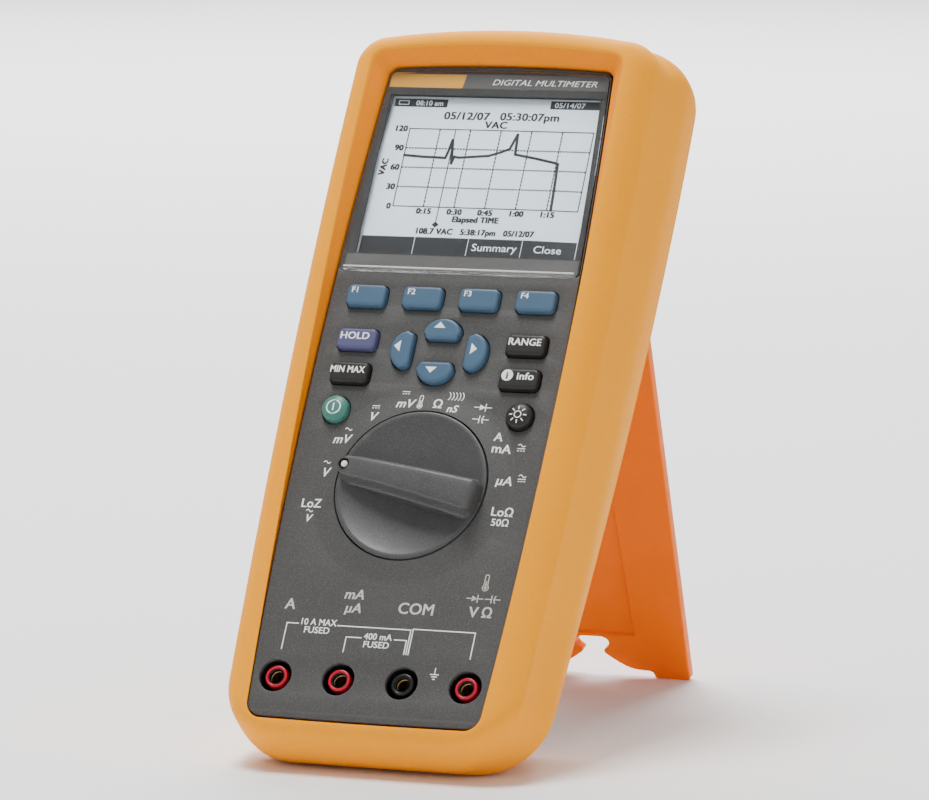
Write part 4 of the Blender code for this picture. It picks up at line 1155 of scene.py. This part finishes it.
def door():
    """Battery and fuse door, ribbed for a thumb, with its cell and fuse marks moulded in."""
    half, low, top = DOOR_HALF - GAP, DOOR_LOW + GAP, DOOR_TOP - GAP
    outer = rounded(2 * half, top - low, 0.8, 5, 0.0, (low + top) / 2)
    holes = [circle(x, FASTENER_Y, 4.6, 64) for x in FASTENERS.values()]
    skin_z = RECESS_Z + 0.1
    bm = plate([outer] + holes, skin_z, skin_z + 1.5, edge=0.25)
    for x in FASTENERS.values():
        pan = [(2.1, skin_z + 0.95), (4.6, skin_z + 0.95), (4.6, skin_z + 1.4), (2.1, skin_z + 1.4)]
        merge(bm, turned(pan, 48, (x, FASTENER_Y, 0.0)))
    make("door_moulding", bm, "door", ["battery_door"], "door", smooth=30)

    marks = bmesh.new()

    def raised(outlines):
        merge(marks, plate(outlines, skin_z - 0.14, skin_z + 0.05, edge=0.04, edge_steps=1))

    for k in range(7):
        raised([rounded(20.0 - 1.2 * k, 0.9, 0.42, 5, 0.0, 139.0 - 1.9 * k)])
    for column in range(3):
        x = 14.8 * (column - 1)
        for y in (66.2, 117.8 - 8.0):
            end = 1 if column % 2 else -1
            body = rounded(9.6, 26.0, 1.2, 5, x, y)
            raised([body, rounded(8.8, 25.2, 0.9, 5, x, y)])
            marks_at = ((3.2, 1.6, 0.4, 4, 13.9), (2.6, 0.5, 0.2, 3, 9.6), (0.5, 2.6, 0.2, 3, 9.6),
                        (2.6, 0.5, 0.2, 3, -9.6))
            for *size, along in marks_at:
                raised([rounded(*size, x, y + end * along)])
    for y, length in ((30.0, 30.0), (17.4, 27.0)):
        raised([rounded(length, 6.4, 0.8, 5, 0.0, y), rounded(length - 0.8, 5.6, 0.5, 5, 0.0, y)])
        raised([rounded(length - 12.0, 0.45, 0.2, 3, 0.0, y)])
    make("door_marks", marks, "door", body="door", smooth=30)


def fastener(body, x):
    """Slotted quarter-turn fastener with a domed head."""
    top = RECESS_Z + 0.05
    head = [(0.0, top), (2.4, top + 0.02), (3.6, top + 0.12), (4.05, top + 0.3), (4.2, top + 0.55),
            (4.2, top + 0.9), (1.9, top + 0.9), (1.9, RECESS_Z + 6.0), (0.0, RECESS_Z + 6.0)]
    solid = turned(head, 64, (x, FASTENER_Y, 0.0))
    piece = make(body + "_head", solid, "brass", ["door_" + body], body)
    slot = rounded(6.9, 1.15, 0.3, 3, x, FASTENER_Y)
    carve(piece, skin([level(slot, top - 0.5), level(slot, top + 0.55)]))


recess_floor()
door()
for fastener_body, fastener_x in FASTENERS.items():
    fastener(fastener_body, fastener_x)


# ======== stand

def stand_plan():
    """Right half of the stand: foot, arch, neck and hanging notch; y runs from the foot to the pivot."""
    foot = -STAND_LENGTH
    points = [(0.0, foot + 13.2), (3.2, foot + 13.2)]
    points += arc((3.5, foot + 11.1), 1.9, 80, -62, 8)
    points += [(3.55, foot + 8.75), (3.5, foot + 8.2), (3.75, foot + 7.6)]
    for k in range(1, 13):
        t = k / 12
        points.append((4.2 + 10.6 * t, foot + 7.3 - 4.9 * sin(pi / 2 * t)))
    points += [(17.6, foot + 2.25), (18.6, foot + 1.9), (19.0, foot + 1.1), (19.2, foot + 0.2), (19.6, foot)]
    points += arc((STAND_HALF - 0.7, foot + 0.7), 0.7, -90, 0, 4)
    points += [(STAND_HALF, foot + 60.0), (STAND_HALF, -40.0), (STAND_HALF, -0.2), (0.0, -0.2)]
    return points


def stand():
    half = STAND_THICK / 2
    blank = plate([mirrored(stand_plan())], -half, half, edge=0.4)
    leg = make("stand_leg", blank, "stand", ["tilt_stand"], "stand", STAND)
    barrel = [(0.0, -STAND_HALF), (half - 0.3, -STAND_HALF), (half, -STAND_HALF + 0.3),
              (half, STAND_HALF - 0.3), (half - 0.3, STAND_HALF), (0.0, STAND_HALF)]
    carve(leg, turned(barrel, 40, axis="X"), STAND, "UNION")
    end = -STAND_LENGTH + 14.8

    def panel(grow, z):
        return level([(-10.0 - grow, -20.0 + grow), (-13.8 - grow, end - grow), (13.8 + grow, end - grow),
                      (10.0 + grow, -20.0 + grow)], z)

    carve(leg, skin([panel(0.0, half - 0.9), panel(0.5, half - 0.05), panel(0.9, half + 1.0)]), STAND)
    carve(leg, skin([panel(0.9, -half - 1.0), panel(0.5, -half + 0.05), panel(0.0, -half + 0.7)]), STAND)
    pin = [(0.0, -34.0), (0.8, -34.0), (0.85, -33.9), (0.85, 33.9), (0.8, 34.0), (0.0, 34.0)]
    make("pivot_pin", turned(pin, 24, PIVOT, "X"), "steel", ["stand_pin"])


stand()


# ======== carried-over pieces

KEPT = {
    "battery_bay": "black", "fuse_holder": "black", "jack_block": "black", "display_frame": "black",
    "keypad_mat": "seal", "dial_seal": "seal", "main_board": "board", "lcd_light_guide": "guide",
    "switch_rotor": "rotor", "detent_spring": "steel", "battery_contacts_low": "steel",
    "battery_contacts_high": "steel", "fuse_high_current": "fuse", "fuse_low_current": "fuse",
}
for node_name, piece_node in frame["nodes"].items():
    finish_name = "cell" if node_name.startswith("battery_cell") else KEPT.get(node_name)
    if finish_name:
        piece_node.data.materials.clear()
        piece_node.data.materials.append(MATS[finish_name])


# ======== floor, light and camera

def floor():
    bm = bmesh.new()
    bmesh.ops.create_grid(bm, x_segments=12, y_segments=12, size=6.0)
    mesh = bpy.data.meshes.new("floor")
    bm.to_mesh(mesh)
    bm.free()
    nodes, shader = tree("floor_paper")
    patches = remap(nodes, noise(nodes, 0.002, 2.0))
    wire(mix(nodes, patches, (0.9, 0.9, 0.9), (0.92, 0.92, 0.92)), shader, "Base Color")
    wire(0.9, shader, "Roughness")
    mesh.materials.append(MATS["floor_paper"])
    place_object("floor", mesh)


def lamp(name, size, power, place, target=(0.0, 0.0, 0.1)):
    light = bpy.data.lights.new(name, "AREA")
    light.shape = "RECTANGLE"
    light.size, light.size_y = size
    light.energy = power
    holder = place_object(name, light)
    holder.location = place
    holder.rotation_euler = (Vector(target) - Vector(place)).to_track_quat("-Z", "Y").to_euler()


def lights():
    """A studio whose walls glow near the floor and are dimmer overhead, with soft lamps."""
    world = bpy.data.worlds.new("studio")
    world.use_nodes = True
    nodes = world.node_tree
    split = node(nodes, "ShaderNodeSeparateXYZ")
    wire(node(nodes, "ShaderNodeTexCoord").outputs["Generated"], split, 0)
    back = nodes.nodes["Background"]
    wire((1.0, 1.0, 1.0), back, "Color")
    wire(remap(nodes, split.outputs["Z"], 1.0, 0.4, 0.0, 0.5), back, "Strength")
    bpy.context.scene.world = world
    lamp("overhead", (0.7, 0.5), 32.0, (-0.25, 0.0, 1.6))
    lamp("front_right", (0.9, 0.9), 4.5, (1.4, -1.1, 0.6))
    lamp("floor_behind", (3.0, 2.5), 210.0, (-1.2, 2.6, 2.0), (-1.2, 2.4, 0.0))


def camera():
    data = bpy.data.cameras.new("camera")
    data.lens = 218.2
    data.sensor_width = 36.0
    data.shift_x = -0.0075
    data.shift_y = 0.0006
    data.clip_start = 0.05
    holder = place_object("camera", data)
    holder.location = (0.6094, -1.4958, 0.2909)
    holder.rotation_euler = (radians(83.07), radians(0.25), radians(22.27))
    bpy.context.scene.camera = holder


floor()
lights()
camera()
